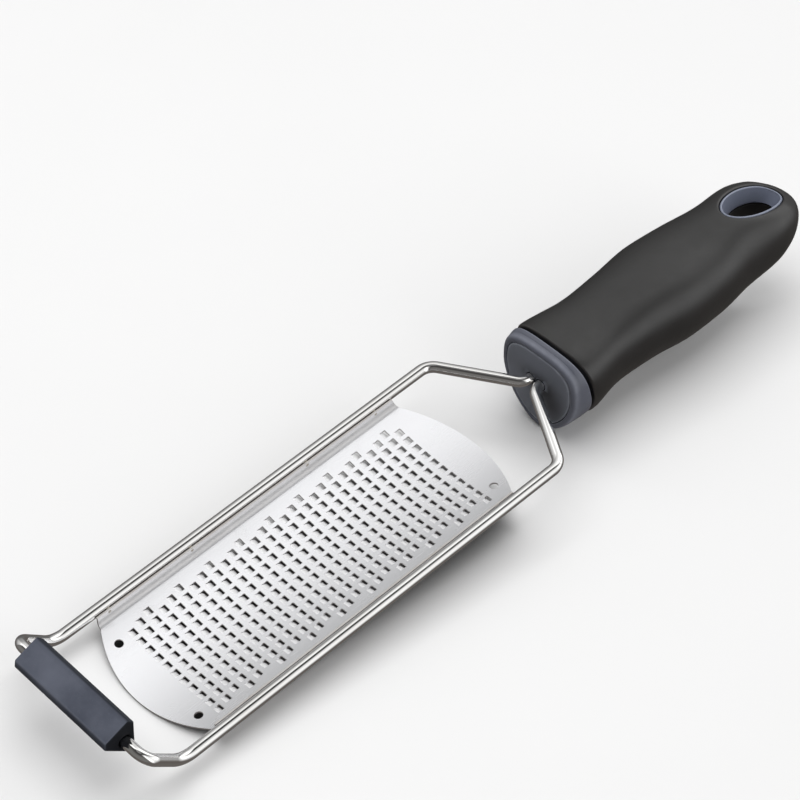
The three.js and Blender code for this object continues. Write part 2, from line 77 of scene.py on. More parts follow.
# handle sections: x, half width, height above and depth below the widest
# level, widest level, exponents of the upper and lower halves
HANDLE = np.array([
    (90.0, 16.05, 12.8, 20.35, 5.06, 3.27, 1.71),
    (99.0, 16.05, 12.8, 20.35, 5.06, 3.27, 1.71),
    (102.0, 16.48, 12.5, 20.8, 5.06, 3.27, 1.71),
    (117.2, 14.56, 11.7, 18.35, 5.06, 3.1, 1.73),
    (133.1, 15.37, 12.53, 18.8, 4.9, 2.9, 1.78),
    (147.2, 17.04, 13.25, 20.05, 4.3, 2.7, 1.82),
    (162.2, 16.2, 13.15, 20.0, 3.6, 2.55, 1.9),
    (177.2, 14.15, 14.3, 17.44, 2.75, 2.35, 2.0),
    (189.4, 14.1, 11.8, 16.0, 2.6, 3.0, 2.05),
    (195.0, 12.85, 9.9, 12.8, 2.45, 3.1, 2.1),
    (197.8, 11.7, 8.75, 11.3, 2.35, 3.2, 2.1),
    (201.6, 9.4, 6.55, 9.0, 2.25, 3.1, 2.1),
    (204.4, 6.65, 4.7, 6.6, 2.2, 2.8, 2.1),
    (206.1, 3.95, 3.0, 4.1, 2.15, 2.4, 2.0),
    (207.2, 1.2, 0.85, 1.1, 2.1, 2.0, 2.0),
])
COLLAR_FRONT_X, COLLAR_FRONT_LEAN = 94.0, 0.053
COLLAR_BACK_X, COLLAR_BACK_LEAN = 100.0, -0.176
PLUG_SCALE, PLUG_FRONT_X, PLUG_BACK_X = 0.834, 91.9, 98.4
SLEEVE_FRONT_X, SLEEVE_WALL = 101.2, 2.6
CORE_END_X = 172.0
TIP_X = 207.2

# hanging hole
HANG_X = 189.0
RIM_IN = (12.0, 6.2)          # liner bore at the rim
RIM_OUT = (12.8, 7.0)         # liner outside at the rim
SEAT = (13.1, 7.3)            # opening in the grip
STEP_IN = (9.4, 6.0)          # liner bore at its lower end
STEP_Z, STEP_TILT = 6.1, 0.176
BORE = (9.0, 5.6)
FOOT_BORE = (10.8, 6.6)


# ------------------------------------------------------------------- mesh kit
def make_object(name, verts, faces, material, layers=None, sharp=32.0, slots=None):
    """A closed mesh piece from millimetre vertices in tool axes."""
    me = bpy.data.meshes.new(name)
    placed = np.asarray(verts, float) * MM @ TURN.T + np.array(OFFSET)
    me.from_pydata(placed.tolist(), [], [[int(i) for i in f] for f in faces])
    for key, values in (layers or {}).items():
        values = np.asarray(values, np.float32)
        if values.ndim == 1:
            me.attributes.new(key, "FLOAT", "POINT").data.foreach_set("value", values)
        else:
            me.attributes.new(key, "FLOAT_VECTOR", "POINT").data.foreach_set("vector", values.ravel())
    bm = bmesh.new()
    bm.from_mesh(me)
    bmesh.ops.recalc_face_normals(bm, faces=bm.faces[:])
    bm.to_mesh(me)
    bm.free()
    me.polygons.foreach_set("use_smooth", np.ones(len(me.polygons), bool))
    me.set_sharp_from_angle(angle=math.radians(sharp))
    for m in (material if isinstance(material, (list, tuple)) else [material]):
        me.materials.append(m)
    if slots is not None:
        me.polygons.foreach_set("material_index", np.asarray(slots, np.int32))
    me.update()
    ob = bpy.data.objects.new(name, me)
    scene.collection.objects.link(ob)
    return ob


def ring_faces(m, n, wrap=False, start=0):
    faces = []
    for i in range(m if wrap else m - 1):
        a, b = start + i * n, start + ((i + 1) % m) * n
        for j in range(n):
            k = (j + 1) % n
            faces.append((a + j, a + k, b + k, b + j))
    return faces


def fan(centre, ring):
    n = len(ring)
    return [(centre, ring[j], ring[(j + 1) % n]) for j in range(n)]


def smoothstep(a, b, x):
    t = np.clip((np.asarray(x, float) - a) / (b - a), 0, 1)
    return t * t * (3 - 2 * t)


# -------------------------------------------------------------- handle sections
def monotone_table():
    x, y = HANDLE[:, 0], HANDLE[:, 1:]
    h = np.diff(x)[:, None]
    d = np.diff(y, axis=0) / h
    m = np.zeros_like(y)
    m[0], m[-1] = d[0], d[-1]
    p, q = d[:-1], d[1:]
    m[1:-1] = np.where(p * q > 0, 2 * p * q / np.where(p + q == 0, 1, p + q), 0)
    fine = np.round(np.arange(x[0], x[-1] + 1e-6, 0.1), 3)
    i = np.clip(np.searchsorted(x, fine, side="right") - 1, 0, len(x) - 2)
    t = ((fine - x[i]) / h[i, 0])[:, None]
    hh = h[i]
    out = ((2 * t**3 - 3 * t**2 + 1) * y[i] + (t**3 - 2 * t**2 + t) * hh * m[i]
           + (-2 * t**3 + 3 * t**2) * y[i + 1] + (t**3 - t**2) * hh * m[i + 1])
    # soften the joints between table rows away from both ends
    kernel = np.exp(-0.5 * (np.arange(-70, 71) * 0.1 / 2.3) ** 2)
    kernel /= kernel.sum()
    padded = np.pad(out, ((70, 70), (0, 0)), mode="edge")
    soft = np.stack([np.convolve(padded[:, c], kernel, mode="valid") for c in range(6)], 1)
    w = (smoothstep(103, 109, fine) * (1 - smoothstep(191, 198, fine)))[:, None]
    return fine, out * (1 - w) + soft * w


FINE_X, FINE = monotone_table()


def section(x):
    """half width, top, low, level, exponents at x (arrays)."""
    return [np.interp(x, FINE_X, FINE[:, c]) for c in range(6)]


def section_point(at, phi, k=1.0, inset=0.0, x=None, lean=0.0):
    """Points of the handle section at station `at`, placed at x."""
    a, top, low, level, nt, nl = section(at)
    c, s = np.abs(np.cos(phi)), np.abs(np.sin(phi))
    up = np.sin(phi) >= 0
    n = np.where(up, nt, nl)
    b = np.where(up, top, low) - inset
    rad = k / ((c / (a - inset)) ** n + (s / b) ** n) ** (1 / n)
    dz = rad * np.sin(phi)
    x = at if x is None else x
    return np.stack(np.broadcast_arrays(x + lean * dz, rad * np.cos(phi), level + dz), -1)


def top_height(x, y):
    a, top, low, level, nt, nl = section(x)
    return level + top * np.maximum(1 - (np.abs(y) / a) ** nt, 1e-6) ** (1 / nt)


def low_height(x, y):
    a, top, low, level, nt, nl = section(x)
    return level - low * np.maximum(1 - (np.abs(y) / a) ** nl, 1e-6) ** (1 / nl)


# -------------------------------------------------------------------- materials
class Nodes:
    """A material's nodes, with short names for the ones used here."""

    def __init__(self, name):
        self.mat = bpy.data.materials.new(name)
        self.mat.use_nodes = True
        self.tree = self.mat.node_tree
        self.n, self.l = self.tree.nodes, self.tree.links
        self.bsdf = next(x for x in self.n if x.type == "BSDF_PRINCIPLED")

    def new(self, kind, **values):
        node = self.n.new(kind)
        for key, value in values.items():
            setattr(node, key, value)
        return node

    def link(self, a, b):
        self.l.new(a, b)

    def coords(self, scale=(1, 1, 1)):
        t = self.new("ShaderNodeTexCoord")
        m = self.new("ShaderNodeMapping", vector_type="TEXTURE")
        m.inputs["Location"].default_value = OFFSET
        m.inputs["Rotation"].default_value = (0, -PITCH, 0)
        m.inputs["Scale"].default_value = tuple(1 / v for v in scale)
        self.link(t.outputs["Object"], m.inputs["Vector"])
        return m.outputs["Vector"]

    def attribute(self, name, vector=False):
        a = self.new("ShaderNodeAttribute", attribute_name=name)
        return a.outputs["Vector" if vector else "Fac"]

    def noise(self, vector, scale, detail=3.0, rough=0.55, distortion=0.0):
        t = self.new("ShaderNodeTexNoise")
        t.inputs["Scale"].default_value = scale
        t.inputs["Detail"].default_value = detail
        t.inputs["Roughness"].default_value = rough
        t.inputs["Distortion"].default_value = distortion
        self.link(vector, t.inputs["Vector"])
        return t.outputs["Fac"]

    def voronoi(self, vector, scale, feature="F1"):
        t = self.new("ShaderNodeTexVoronoi", feature=feature)
        t.inputs["Scale"].default_value = scale
        self.link(vector, t.inputs["Vector"])
        return t.outputs["Distance"]

    def span(self, fac, low, high, to_low=0.0, to_high=1.0):
        m = self.new("ShaderNodeMapRange")
        m.inputs["From Min"].default_value = low
        m.inputs["From Max"].default_value = high
        m.inputs["To Min"].default_value = to_low
        m.inputs["To Max"].default_value = to_high
        self.link(fac, m.inputs["Value"])
        return m.outputs["Result"]

    def math(self, op, a, b):
        m = self.new("ShaderNodeMath", operation=op)
        for k, v in enumerate((a, b)):
            if isinstance(v, (int, float)):
                m.inputs[k].default_value = v
            else:
                self.link(v, m.inputs[k])
        return m.outputs[0]

    def mix(self, fac, a, b):
        m = self.new("ShaderNodeMix", data_type="RGBA")
        for k, v in ((0, fac), (6, a), (7, b)):
            if isinstance(v, (int, float)):
                m.inputs[k].default_value = v
            elif isinstance(v, tuple):
                m.inputs[k].default_value = (*v, 1.0)
            else:
                self.link(v, m.inputs[k])
        return m.outputs[2]

    def bump(self, height, strength, distance, normal=None):
        b = self.new("ShaderNodeBump")
        b.inputs["Strength"].default_value = strength
        b.inputs["Distance"].default_value = distance
        self.link(height, b.inputs["Height"])
        if normal is not None:
            self.link(normal, b.inputs["Normal"])
        return b.outputs["Normal"]

    def set(self, **values):
        for key, value in values.items():
            socket = self.bsdf.inputs[key.replace("_", " ")]
            if isinstance(value, (int, float)):
                socket.default_value = value
            elif isinstance(value, tuple):
                socket.default_value = (*value, 1.0)
            else:
                self.link(value, socket)


def srgb(r, g, b):
    return tuple((c / 255 / 12.92) if c / 255 <= 0.04045 else ((c / 255 + 0.055) / 1.055) ** 2.4 for c in (r, g, b))


def sheet_material(name, rough_low, rough_high, tint, metallic=1.0):
    m = Nodes(name)
    cloud = m.noise(m.coords((14, 22, 22)), 1.0, 3.0)
    grain = m.noise(m.coords((60, 5200, 2600)), 1.0, 4.0, 0.6)
    fine = m.noise(m.coords((2400, 2400, 2400)), 1.0, 2.0)
    smear = m.noise(m.coords((55, 90, 90)), 1.0, 4.0, 0.6, 0.6)
    base = m.mix(m.span(cloud, 0.35, 0.65), tuple(c * 0.965 for c in tint), tint)
    base = m.mix(m.span(smear, 0.56, 0.78, 0.0, 0.25), base, tuple(c * f for c, f in zip(tint, (0.93, 0.925, 0.91))))
    # painted shade: the flanges get a darker tint than the plate, standing in for their darker reflection
    base = m.mix(m.math("MULTIPLY", m.attribute("flange"), m.span(smear, 0.3, 0.7, 0.8, 1.0)), base, tuple(c * f for c, f in zip(tint, (0.70, 0.69, 0.675))))
    rough = m.math("ADD", m.span(grain, 0.3, 0.7, rough_low, rough_high), m.span(smear, 0.5, 0.8, 0.0, 0.04))
    rough = m.math("ADD", rough, m.math("MULTIPLY", m.attribute("bend"), 0.28))
    normal = m.bump(grain, 0.02, 0.00002)
    normal = m.bump(fine, 0.04, 0.00002, normal)
    m.set(Base_Color=base, Metallic=metallic, Roughness=rough, Normal=normal)
    return m.mat


def edge_material():
    """Sheared edge of the sheet: duller, darker and scored."""
    m = Nodes("sheared_edge")
    score = m.noise(m.coords((2600, 2600, 300)), 1.0, 4.0, 0.6)
    cloud = m.noise(m.coords((90, 90, 90)), 1.0, 3.0)
    base = m.mix(m.span(score, 0.35, 0.65), (0.60, 0.58, 0.56), (0.76, 0.74, 0.72))
    base = m.mix(m.span(cloud, 0.4, 0.7, 0.0, 0.5), base, (0.48, 0.43, 0.40))
    m.set(Base_Color=base, Metallic=1.0, Roughness=m.span(score, 0.3, 0.7, 0.38, 0.55), Normal=m.bump(score, 0.2, 0.00003))
    return m.mat


def rod_material():
    m = Nodes("polished_rod")
    lines = m.attribute("draw", vector=True)
    streak = m.noise(lines, 1.0, 4.0, 0.6)
    cloud = m.noise(m.coords((30, 30, 30)), 1.0, 3.0)
    spots = m.noise(m.coords((700, 700, 700)), 1.0, 3.0)
    base = m.mix(m.span(cloud, 0.35, 0.7), (0.80, 0.79, 0.775), (0.87, 0.865, 0.855))
    base = m.mix(m.span(spots, 0.66, 0.8, 0.0, 0.3), base, (0.55, 0.52, 0.48))
    rough = m.math("ADD", m.span(streak, 0.3, 0.7, 0.05, 0.11), m.span(cloud, 0.4, 0.75, 0.0, 0.05))
    normal = m.bump(streak, 0.05, 0.00002)
    normal = m.bump(cloud, 0.05, 0.0004, normal)
    m.set(Base_Color=base, Metallic=1.0, Roughness=rough, Normal=normal)
    return m.mat


def weld_material():
    m = Nodes("weld_metal")
    n = m.noise(m.coords((1500, 1500, 1500)), 1.0, 4.0)
    base = m.mix(m.span(n, 0.35, 0.65), (0.28, 0.24, 0.19), (0.55, 0.52, 0.47))
    m.set(Base_Color=base, Metallic=1.0, Roughness=m.span(n, 0.3, 0.7, 0.35, 0.55), Normal=m.bump(n, 0.4, 0.0001))
    return m.mat


def plastic_material(name, dark, light, edge, rough, grain_scale, grain, spec=0.5, dust=0.0):
    """Moulded plastic or rubber: uneven colour, fine texture, edges lightened partly as rubbed wear and partly as
    painted highlight, and painted shade mixed in by a per-point mask.
    """
    m = Nodes(name)
    cloud = m.noise(m.coords((45, 45, 45)), 1.0, 4.0, 0.6)
    patch = m.noise(m.coords((160, 160, 160)), 1.0, 3.0, 0.6, 0.4)
    fine = m.noise(m.coords((grain_scale,) * 3), 1.0, 3.0, 0.6)
    cell = m.voronoi(m.coords((grain_scale * 0.6,) * 3), 1.0)
    wear_and_highlight, painted_shade = m.attribute("wear_and_highlight"), m.attribute("painted_shade")
    base = m.mix(m.span(cloud, 0.3, 0.7), dark, light)
    base = m.mix(m.span(fine, 0.55, 0.8, 0.0, 0.18), base, tuple(min(1, c * 1.35) for c in light))
    # lighter edge colour by a per-point mask: partly rubbed wear, partly a painted highlight along edges and rims
    rub_and_highlight = m.math("MULTIPLY", wear_and_highlight, m.span(patch, 0.25, 0.75, 0.25, 1.0))
    base = m.mix(rub_and_highlight, base, edge)
    # painted shade: near-black mixed in by a per-point mask where the piece lies in shade
    base = m.mix(m.math("MULTIPLY", painted_shade, m.span(cloud, 0.2, 0.8, 0.9, 1.0)), base, tuple(c * 0.08 for c in dark))
    if dust:
        specks = m.span(m.noise(m.coords((1300, 1300, 1300)), 1.0, 2.0), 0.74, 0.82, 0.0, dust)
        base = m.mix(specks, base, tuple(min(1, c * 2.2 + 0.01) for c in light))
    r = m.math("ADD", m.span(patch, 0.3, 0.7, rough - 0.04, rough + 0.04), m.span(fine, 0.35, 0.65, -0.03, 0.03))
    r = m.math("SUBTRACT", r, m.math("MULTIPLY", rub_and_highlight, 0.08))
    normal = m.bump(fine, grain, 0.00006)
    normal = m.bump(cell, grain * 0.6, 0.00005, normal)
    normal = m.bump(cloud, 0.04, 0.0008, normal)
    m.set(Base_Color=base, Roughness=r, Normal=normal)
    m.bsdf.inputs["Specular IOR Level"].default_value = spec
    return m.mat


MAT_SHEET = sheet_material("brushed_sheet", 0.24, 0.275, (0.90, 0.903, 0.922))
# painted light: the tongues get a lighter, less metallic copy of the sheet finish, so that they read as brightly lit
# as the plate
MAT_TOOTH_PAINTED_LIGHT = sheet_material("tooth_sheet_painted_light", 0.54, 0.66, (0.95, 0.95, 0.955), 0.6)
MAT_EDGE = edge_material()
MAT_ROD = rod_material()
MAT_WELD = weld_material()
# the third colour of each finish is its edge colour: partly rubbed wear, partly painted highlight
MAT_FOOT = plastic_material("foot_rubber", srgb(71, 75, 86), srgb(100, 104, 116), srgb(101, 105, 117), 0.65, 2600, 0.12, 0.1, 0.2)
MAT_CORE = plastic_material("collar_plastic", srgb(82, 85, 95), srgb(89, 92, 103), srgb(122, 125, 136), 0.42, 3600, 0.05, 0.45)
MAT_PLUG = plastic_material("plug_plastic", srgb(103, 107, 116), srgb(112, 116, 126), srgb(168, 173, 183), 0.45, 3600, 0.05, 0.45)
MAT_GRIP = plastic_material("soft_grip", srgb(18, 17, 16), srgb(23, 22, 21), srgb(46, 44, 42), 0.45, 3000, 0.10, 0.78, 0.16)
MAT_LINER = plastic_material("liner_plastic", srgb(116, 122, 138), srgb(125, 131, 148), srgb(132, 138, 153), 0.40, 3600, 0.05, 0.5)


# -------------------------------------------------------------------- rod frame
def rounded_path(corners, step_deg=2.5, step_mm=6.0):
    pts = []

    def straight(p, q):
        """points along a straight, with rings close to both ends"""
        length = np.linalg.norm(q - p)
        at = [0.15, 0.5] if length > 2 else []
        n = max(1, int(length / step_mm))
        at += [length * i / n for i in range(1, n)]
        at += [length - 0.5, length - 0.15] if length > 2 else []
        for a in at:
            pts.append(p + (q - p) * a / length)

    n = len(corners)
    last = None
    for i, (p, r) in enumerate(corners):
        p = np.array(p, float)
        if i in (0, n - 1):
            if last is not None:
                straight(last, p)
            pts.append(p)
            last = p
            continue
        a = np.array(corners[i - 1][0], float) - p
        b = np.array(corners[i + 1][0], float) - p
        a /= np.linalg.norm(a)
        b /= np.linalg.norm(b)
        half = math.acos(np.clip(a @ b, -1, 1)) / 2
        reach = r / math.tan(half)
        mid = (a + b) / np.linalg.norm(a + b)
        centre = p + mid * r / math.sin(half)
        u, v = p + a * reach - centre, p + b * reach - centre
        turn = math.acos(np.clip(u @ v / (r * r), -1, 1))
        straight(last, p + a * reach)
        steps = max(4, int(math.degrees(turn) / step_deg))
        for k in range(steps + 1):
            t = k / steps
            pts.append(centre + (u * math.sin((1 - t) * turn) + v * math.sin(t * turn)) / math.sin(turn))
        last = p + b * reach
    return np.array(pts)


def sweep(pts, radius, sides):
    """Rings of a round rod along pts, with frames carried along the path."""
    d = np.gradient(pts, axis=0)
    d[1:-1] = [
        (lambda a, b: a / np.linalg.norm(a) + b / np.linalg.norm(b))(pts[i] - pts[i - 1], pts[i + 1] - pts[i])
        for i in range(1, len(pts) - 1)
    ]
    d /= np.linalg.norm(d, axis=1)[:, None]
    up = np.array((0.0, 0.0, 1.0))
    rings, ang = [], np.arange(sides) * 2 * math.pi / sides
    for i, p in enumerate(pts):
        up = up - d[i] * (up @ d[i])
        up /= np.linalg.norm(up)
        side = np.cross(d[i], up)
        rings.append(p + radius * (np.cos(ang)[:, None] * side + np.sin(ang)[:, None] * up))
    return np.array(rings), ang


def build_rod():
    def side(s):
        return [
            ((TANG_END_X, s * TANG_Y, RAIL_Z), 0),
            ((ENTRY_X, s * TANG_Y, RAIL_Z), ENTRY_BEND),
            ((LEG_X, s * RAIL_Y, RAIL_Z), LEG_BEND),
            ((RAMP_X, s * RAIL_Y, RAIL_Z), RAMP_BEND),
            ((BAR_X, s * RAIL_Y, BAR_Z), BAR_BEND),
        ]

    pts = rounded_path(side(1) + side(-1)[::-1])
    sides = 36
    rings, ang = sweep(pts, ROD_R, sides)
    length = np.concatenate([[0], np.cumsum(np.linalg.norm(np.diff(pts, axis=0), axis=1))])
    m = len(pts)
    verts = rings.reshape(-1, 3).tolist()
    faces = ring_faces(m, sides)
    draw = np.stack(np.broadcast_arrays(
        np.cos(ang)[None, :] * 9.0, np.sin(ang)[None, :] * 9.0, length[:, None] * 0.06), -1).reshape(-1, 3).tolist()
    for end in (0, m - 1):
        centre = len(verts)
        verts.append(pts[end].tolist())
        draw.append((0, 0, 0))
        faces += fan(centre, [end * sides + j for j in range(sides)])
    return make_object("rod_frame", verts, faces, MAT_ROD, {"draw": np.array(draw)}, sharp=40)


def build_welds():
    """Spot welds: a shallow mark on each flange and the nugget behind it."""
    verts, faces = [], []
    rows, cols = 8, 20
    rng = np.random.default_rng(11)
    for side in (1, -1):
        for x in (-53.6, -23.0, 22.2, 50.0):
            x += rng.uniform(-0.3, 0.3)
            size = rng.uniform(0.9, 1.1)
            for c, half in (
                ((x, FLANGE_IN, 5.2), (0.55 * size, 0.07, 0.50 * size)),
                ((x, 26.27, 5.72), (0.85 * size, 0.30, 0.42 * size)),
            ):
                base = len(verts)
                for i in range(rows + 1):
                    el = -math.pi / 2 + math.pi * (i + 0.02) / (rows + 0.04)
                    for j in range(cols):
                        az = 2 * math.pi * j / cols
                        w = 1 + 0.06 * math.sin(3 * az + x)
                        verts.append((
                            c[0] + half[0] * w * math.cos(el) * math.cos(az),
                            side * (c[1] + half[1] * math.sin(el)),
                            c[2] + half[2] * w * math.cos(el) * math.sin(az),
                        ))
                faces += ring_faces(rows + 1, cols, start=base)
                faces += [tuple(base + j for j in range(cols)), tuple(base + rows * cols + j for j in range(cols))]
    return make_object("weld_marks", verts, faces, MAT_WELD, sharp=60)


# ---------------------------------------------------------------- punched sheet
def build_sheet():
    cy, y_bend = FLANGE_IN - BEND_R, 23.5
    for _ in range(30):
        slope = math.atan(2 * CROWN * y_bend)
        y_bend = cy + BEND_R * math.sin(slope)
    z_axis = CROWN * y_bend**2 + BEND_R * math.cos(slope)

    # columns across the sheet: (y, z, normal y, normal z) on the upper face
    half = [(y_bend, CROWN * y_bend**2, -2 * CROWN * y_bend, 1.0)]
    for t in np.linspace(slope, math.pi / 2, 15)[1:]:
        half.append((cy + BEND_R * math.sin(t), z_axis - BEND_R * math.cos(t), -math.sin(t), math.cos(t)))
    for z in np.linspace(z_axis, FLANGE_TOP, 4)[1:]:
        half.append((FLANGE_IN, z, -1.0, 0.0))
    run = np.concatenate([[0], np.cumsum(np.hypot(*np.diff(np.array(half)[:, :2], axis=0).T))])
    run /= run[-1]
    NJ = int(y_bend / 1.25 - 0.2)
    lattice = [(1.25 * j, CROWN * (1.25 * j) ** 2, -2 * CROWN * 1.25 * j, 1.0) for j in range(-NJ, NJ + 1)]
    cols = [(-y, z, -ny, nz) for y, z, ny, nz in half[::-1]] + lattice + half
    cols = np.array(cols)
    cols[:, 2:] /= np.linalg.norm(cols[:, 2:], axis=1)[:, None]
    n_half, n_col = len(half), len(cols)
    first_lat = n_half                                    # lattice j = -NJ
    plate_lo, plate_hi = n_half - 1, n_col - n_half       # columns at the bends

    def end_reach(y):
        y = min(abs(y), y_bend)
        return END_APEX - END_RADIUS + math.sqrt(END_RADIUS**2 - y * y)

    # the flanges stop square at the foot end and lean back at the handle end
    reach = {}
    for sign in (-1, 1):
        out = np.array([end_reach(c[0]) for c in cols])
        for k in range(n_half):
            t = run[k]
            edge = out[plate_hi]
            far = edge + ((57.9 - edge) * min(1.0, 1.6 * t) if sign < 0 else (56.9 - edge) * t)
            out[plate_hi + k], out[plate_lo - k] = far, far
        reach[sign] = out

    verts, faces, mats = [], [], []

    def add(p):
        verts.append(p)
        return len(verts) - 1

    def pair(x, y, z, ny, nz):
        return add((x, y, z)), add((x, y - ny * SHEET_T, z - nz * SHEET_T))

    def surface(x, y):
        ny, nz = -2 * CROWN * y, 1.0
        s = math.hypot(ny, nz)
        return pair(x, y, CROWN * y * y, ny / s, nz / s)

    row_x = [SHEET_X + (r - (ROWS - 1) / 2) * PITCH_X for r in range(ROWS)]
    lines, tooth_of_line = [], []
    x_first, x_last = row_x[0] - TOOTH_X / 2 - 0.5, row_x[-1] + TOOTH_X / 2 + 0.5

    def line(xs, phase=None):
        row = []
        for k in range(n_col):
            y, z, ny, nz = cols[k]
            j = k - first_lat - NJ
            if phase is not None and -NJ <= j <= NJ:
                step = (j - phase) % 3
                y = y + (0.0, -0.025, 0.025)[step]
                row.append(surface(xs, y))
            else:
                row.append(pair(xs, y, z, ny, nz))
        return row

    lines.append(line(x_first))
    tooth_of_line.append(None)
    for r in range(ROWS):
        phase = (r % 3) - 1
        lines.append(line(row_x[r] - TOOTH_X / 2, phase))
        tooth_of_line.append(r)
        lines.append(line(row_x[r] + TOOTH_X / 2, phase))
        tooth_of_line.append(None)
    lines.append(line(x_last))
    tooth_of_line.append(None)

    def quad(a, b, c, d, mat=0):
        faces.append((a, b, c, d))
        mats.append(mat)

    def tri(a, b, c, mat=0):
        faces.append((a, b, c))
        mats.append(mat)

    def slab(a, b, c, d):
        """upper and lower faces between four vertex pairs"""
        quad(a[0], b[0], c[0], d[0])
        quad(a[1], d[1], c[1], b[1])

    def wall(a, b, mat=0):
        quad(a[0], a[1], b[1], b[0], mat)

    holes = 0
    for i in range(len(lines) - 1):
        p, q = lines[i], lines[i + 1]
        r = tooth_of_line[i]
        open_cols = set()
        if r is not None:
            for k in range(COLS):
                c = 3 * (k - 5) + (r % 3) - 1 + NJ + first_lat
                open_cols.update((c - 1, c))
        for k in range(n_col - 1):
            if k not in open_cols:
                slab(p[k], q[k], q[k + 1], p[k + 1])
        if r is None:
            continue
        for kk in range(COLS):
            c = 3 * (kk - 5) + (r % 3) - 1 + NJ + first_lat
            holes += 1
            wall(p[c - 1], q[c - 1])
            wall(q[c + 1], p[c + 1])
            wall(q[c - 1], q[c])
            wall(q[c], q[c + 1])
            # the tongue: hinged on the side toward the foot, pressed down
            yc = 1.25 * (3 * (kk - 5) + (r % 3) - 1)
            x0 = row_x[r] - TOOTH_X / 2
            length, depth, thick = 1.88, 1.0, 0.46
            prev = (p[c - 1], p[c], p[c + 1])
            for t in (0.1, 0.25, 0.45, 0.65, 0.83, 0.95, 1.0):
                w = TOOTH_Y / 2 - 0.07 * min(1.0, t / 0.1)
                if t > 0.8:
                    w -= 0.16 * ((t - 0.8) / 0.2) ** 2
                drop = depth * t**1.12
                dzdx = depth * 1.12 * t**0.12 / length
                nn = math.hypot(1, dzdx)
                row = []
                for y in (yc - w, yc, yc + w):
                    tt = t * 0.985 if (t == 1.0 and y != yc) else t
                    x = x0 + length * tt
                    z = CROWN * y * y - drop
                    th = SHEET_T + (thick - SHEET_T) * min(1.0, t / 0.3)
                    if t >= 0.95:
                        th *= 0.75 if t == 0.95 else 0.42
                    row.append((add((x, y, z)), add((x - th * dzdx / nn, y, z - th / nn))))
                for e in range(2):
                    quad(prev[e][0], row[e][0], row[e + 1][0], prev[e + 1][0], 1)
                    quad(prev[e][1], prev[e + 1][1], row[e + 1][1], row[e][1], 1)
                quad(prev[0][0], prev[0][1], row[0][1], row[0][0], 1)
                quad(prev[2][0], row[2][0], row[2][1], prev[2][1], 1)
                prev = row
            for e in range(2):
                quad(prev[e][0], prev[e][1], prev[e + 1][1], prev[e + 1][0], 1)

    # bowed ends: triangulated with the round holes, and the flange ends
    for sign, base in ((-1, lines[0]), (1, lines[-1])):
        x_base = x_first if sign < 0 else x_last
        steps = (0.34, 0.67, 1.0)
        strips = {k: [base[k]] for k in range(n_col)}
        for k in list(range(0, plate_lo + 1)) + list(range(plate_hi, n_col)):
            y, z, ny, nz = cols[k]
            for t in steps:
                x = x_base + (SHEET_X + sign * reach[sign][k] - x_base) * t
                strips[k].append(pair(x, y, z, ny, nz))
        for k in list(range(0, plate_lo)) + list(range(plate_hi, n_col - 1)):
            for s in range(len(steps)):
                slab(strips[k][s], strips[k][s + 1], strips[k + 1][s + 1], strips[k + 1][s])
        for k in (0, n_col - 1):
            for s in range(len(steps)):
                wall(strips[k][s], strips[k][s + 1], 2)
        for k in list(range(0, plate_lo)) + list(range(plate_hi, n_col - 1)):
            wall(strips[k][-1], strips[k + 1][-1], 2)

        pts, pairs, edges = [], [], []

        def put(xy, pr):
            pts.append(Vector(xy))
            pairs.append(pr)
            return len(pts) - 1

        loop = []
        for k in range(plate_lo, plate_hi + 1):
            loop.append(put((x_base, cols[k, 0]), base[k]))
        y_edge = cols[plate_hi, 0]
        for s in (1, 2):
            pr = strips[plate_hi][s]
            loop.append(put((verts[pr[0]][0], y_edge), pr))
        arc = []
        for u in np.linspace(math.asin(y_edge / END_RADIUS), -math.asin(y_edge / END_RADIUS), 73):
            y = END_RADIUS * math.sin(u)
            x = SHEET_X + sign * (END_APEX - END_RADIUS + END_RADIUS * math.cos(u))
            if len(arc) == 0:
                pr = strips[plate_hi][3]
            elif abs(y + y_edge) < 1e-6:
                pr = strips[plate_lo][3]
            else:
                pr = surface(x, y)
            arc.append(put((x, y), pr))
        loop += arc
        for s in (2, 1):
            pr = strips[plate_lo][s]
            loop.append(put((verts[pr[0]][0], -y_edge), pr))
        edges += [(loop[i], loop[(i + 1) % len(loop)]) for i in range(len(loop))]
        rings = []
        for hx, hy in ROUND_HOLES:
            if (hx < 0) != (sign < 0):
                continue
            ring = []
            for u in np.arange(40) * 2 * math.pi / 40:
                x, y = hx + ROUND_HOLE_R * math.cos(u), hy + ROUND_HOLE_R * math.sin(u)
                ring.append(put((x, y), surface(x, y)))
            edges += [(ring[i], ring[(i + 1) % 40]) for i in range(40)]
            rings.append((hx, hy, set(ring)))
            for i in range(40):
                wall(pairs[ring[i]], pairs[ring[(i + 1) % 40]])
            for rad, m in ((1.8, 30), (2.5, 24)):
                for u in np.arange(m) * 2 * math.pi / m:
                    x, y = hx + rad * math.cos(u), hy + rad * math.sin(u)
                    put((x, y), surface(x, y))
        for y in np.arange(-22.5, 22.6, 2.5):
            for d in (2.2, 4.4, 6.6, 8.8, 11.0):
                x = x_base + sign * d
                if abs(x - SHEET_X) > end_reach(y) - 1.3:
                    continue
                if any(math.hypot(x - hx, y - hy) < 3.4 for hx, hy in ROUND_HOLES):
                    continue
                put((x, y), surface(x, y))
        out_v, out_e, out_f, orig_v, orig_e, orig_f = delaunay_2d_cdt(pts, edges, [], 0, 1e-7)
        where = [o[0] for o in orig_v]
        for f in out_f:
            ids = [where[v] for v in f]
            if any(all(v in ring for v in ids) for _, _, ring in rings):
                continue
            a, b, c = (pairs[v] for v in ids)
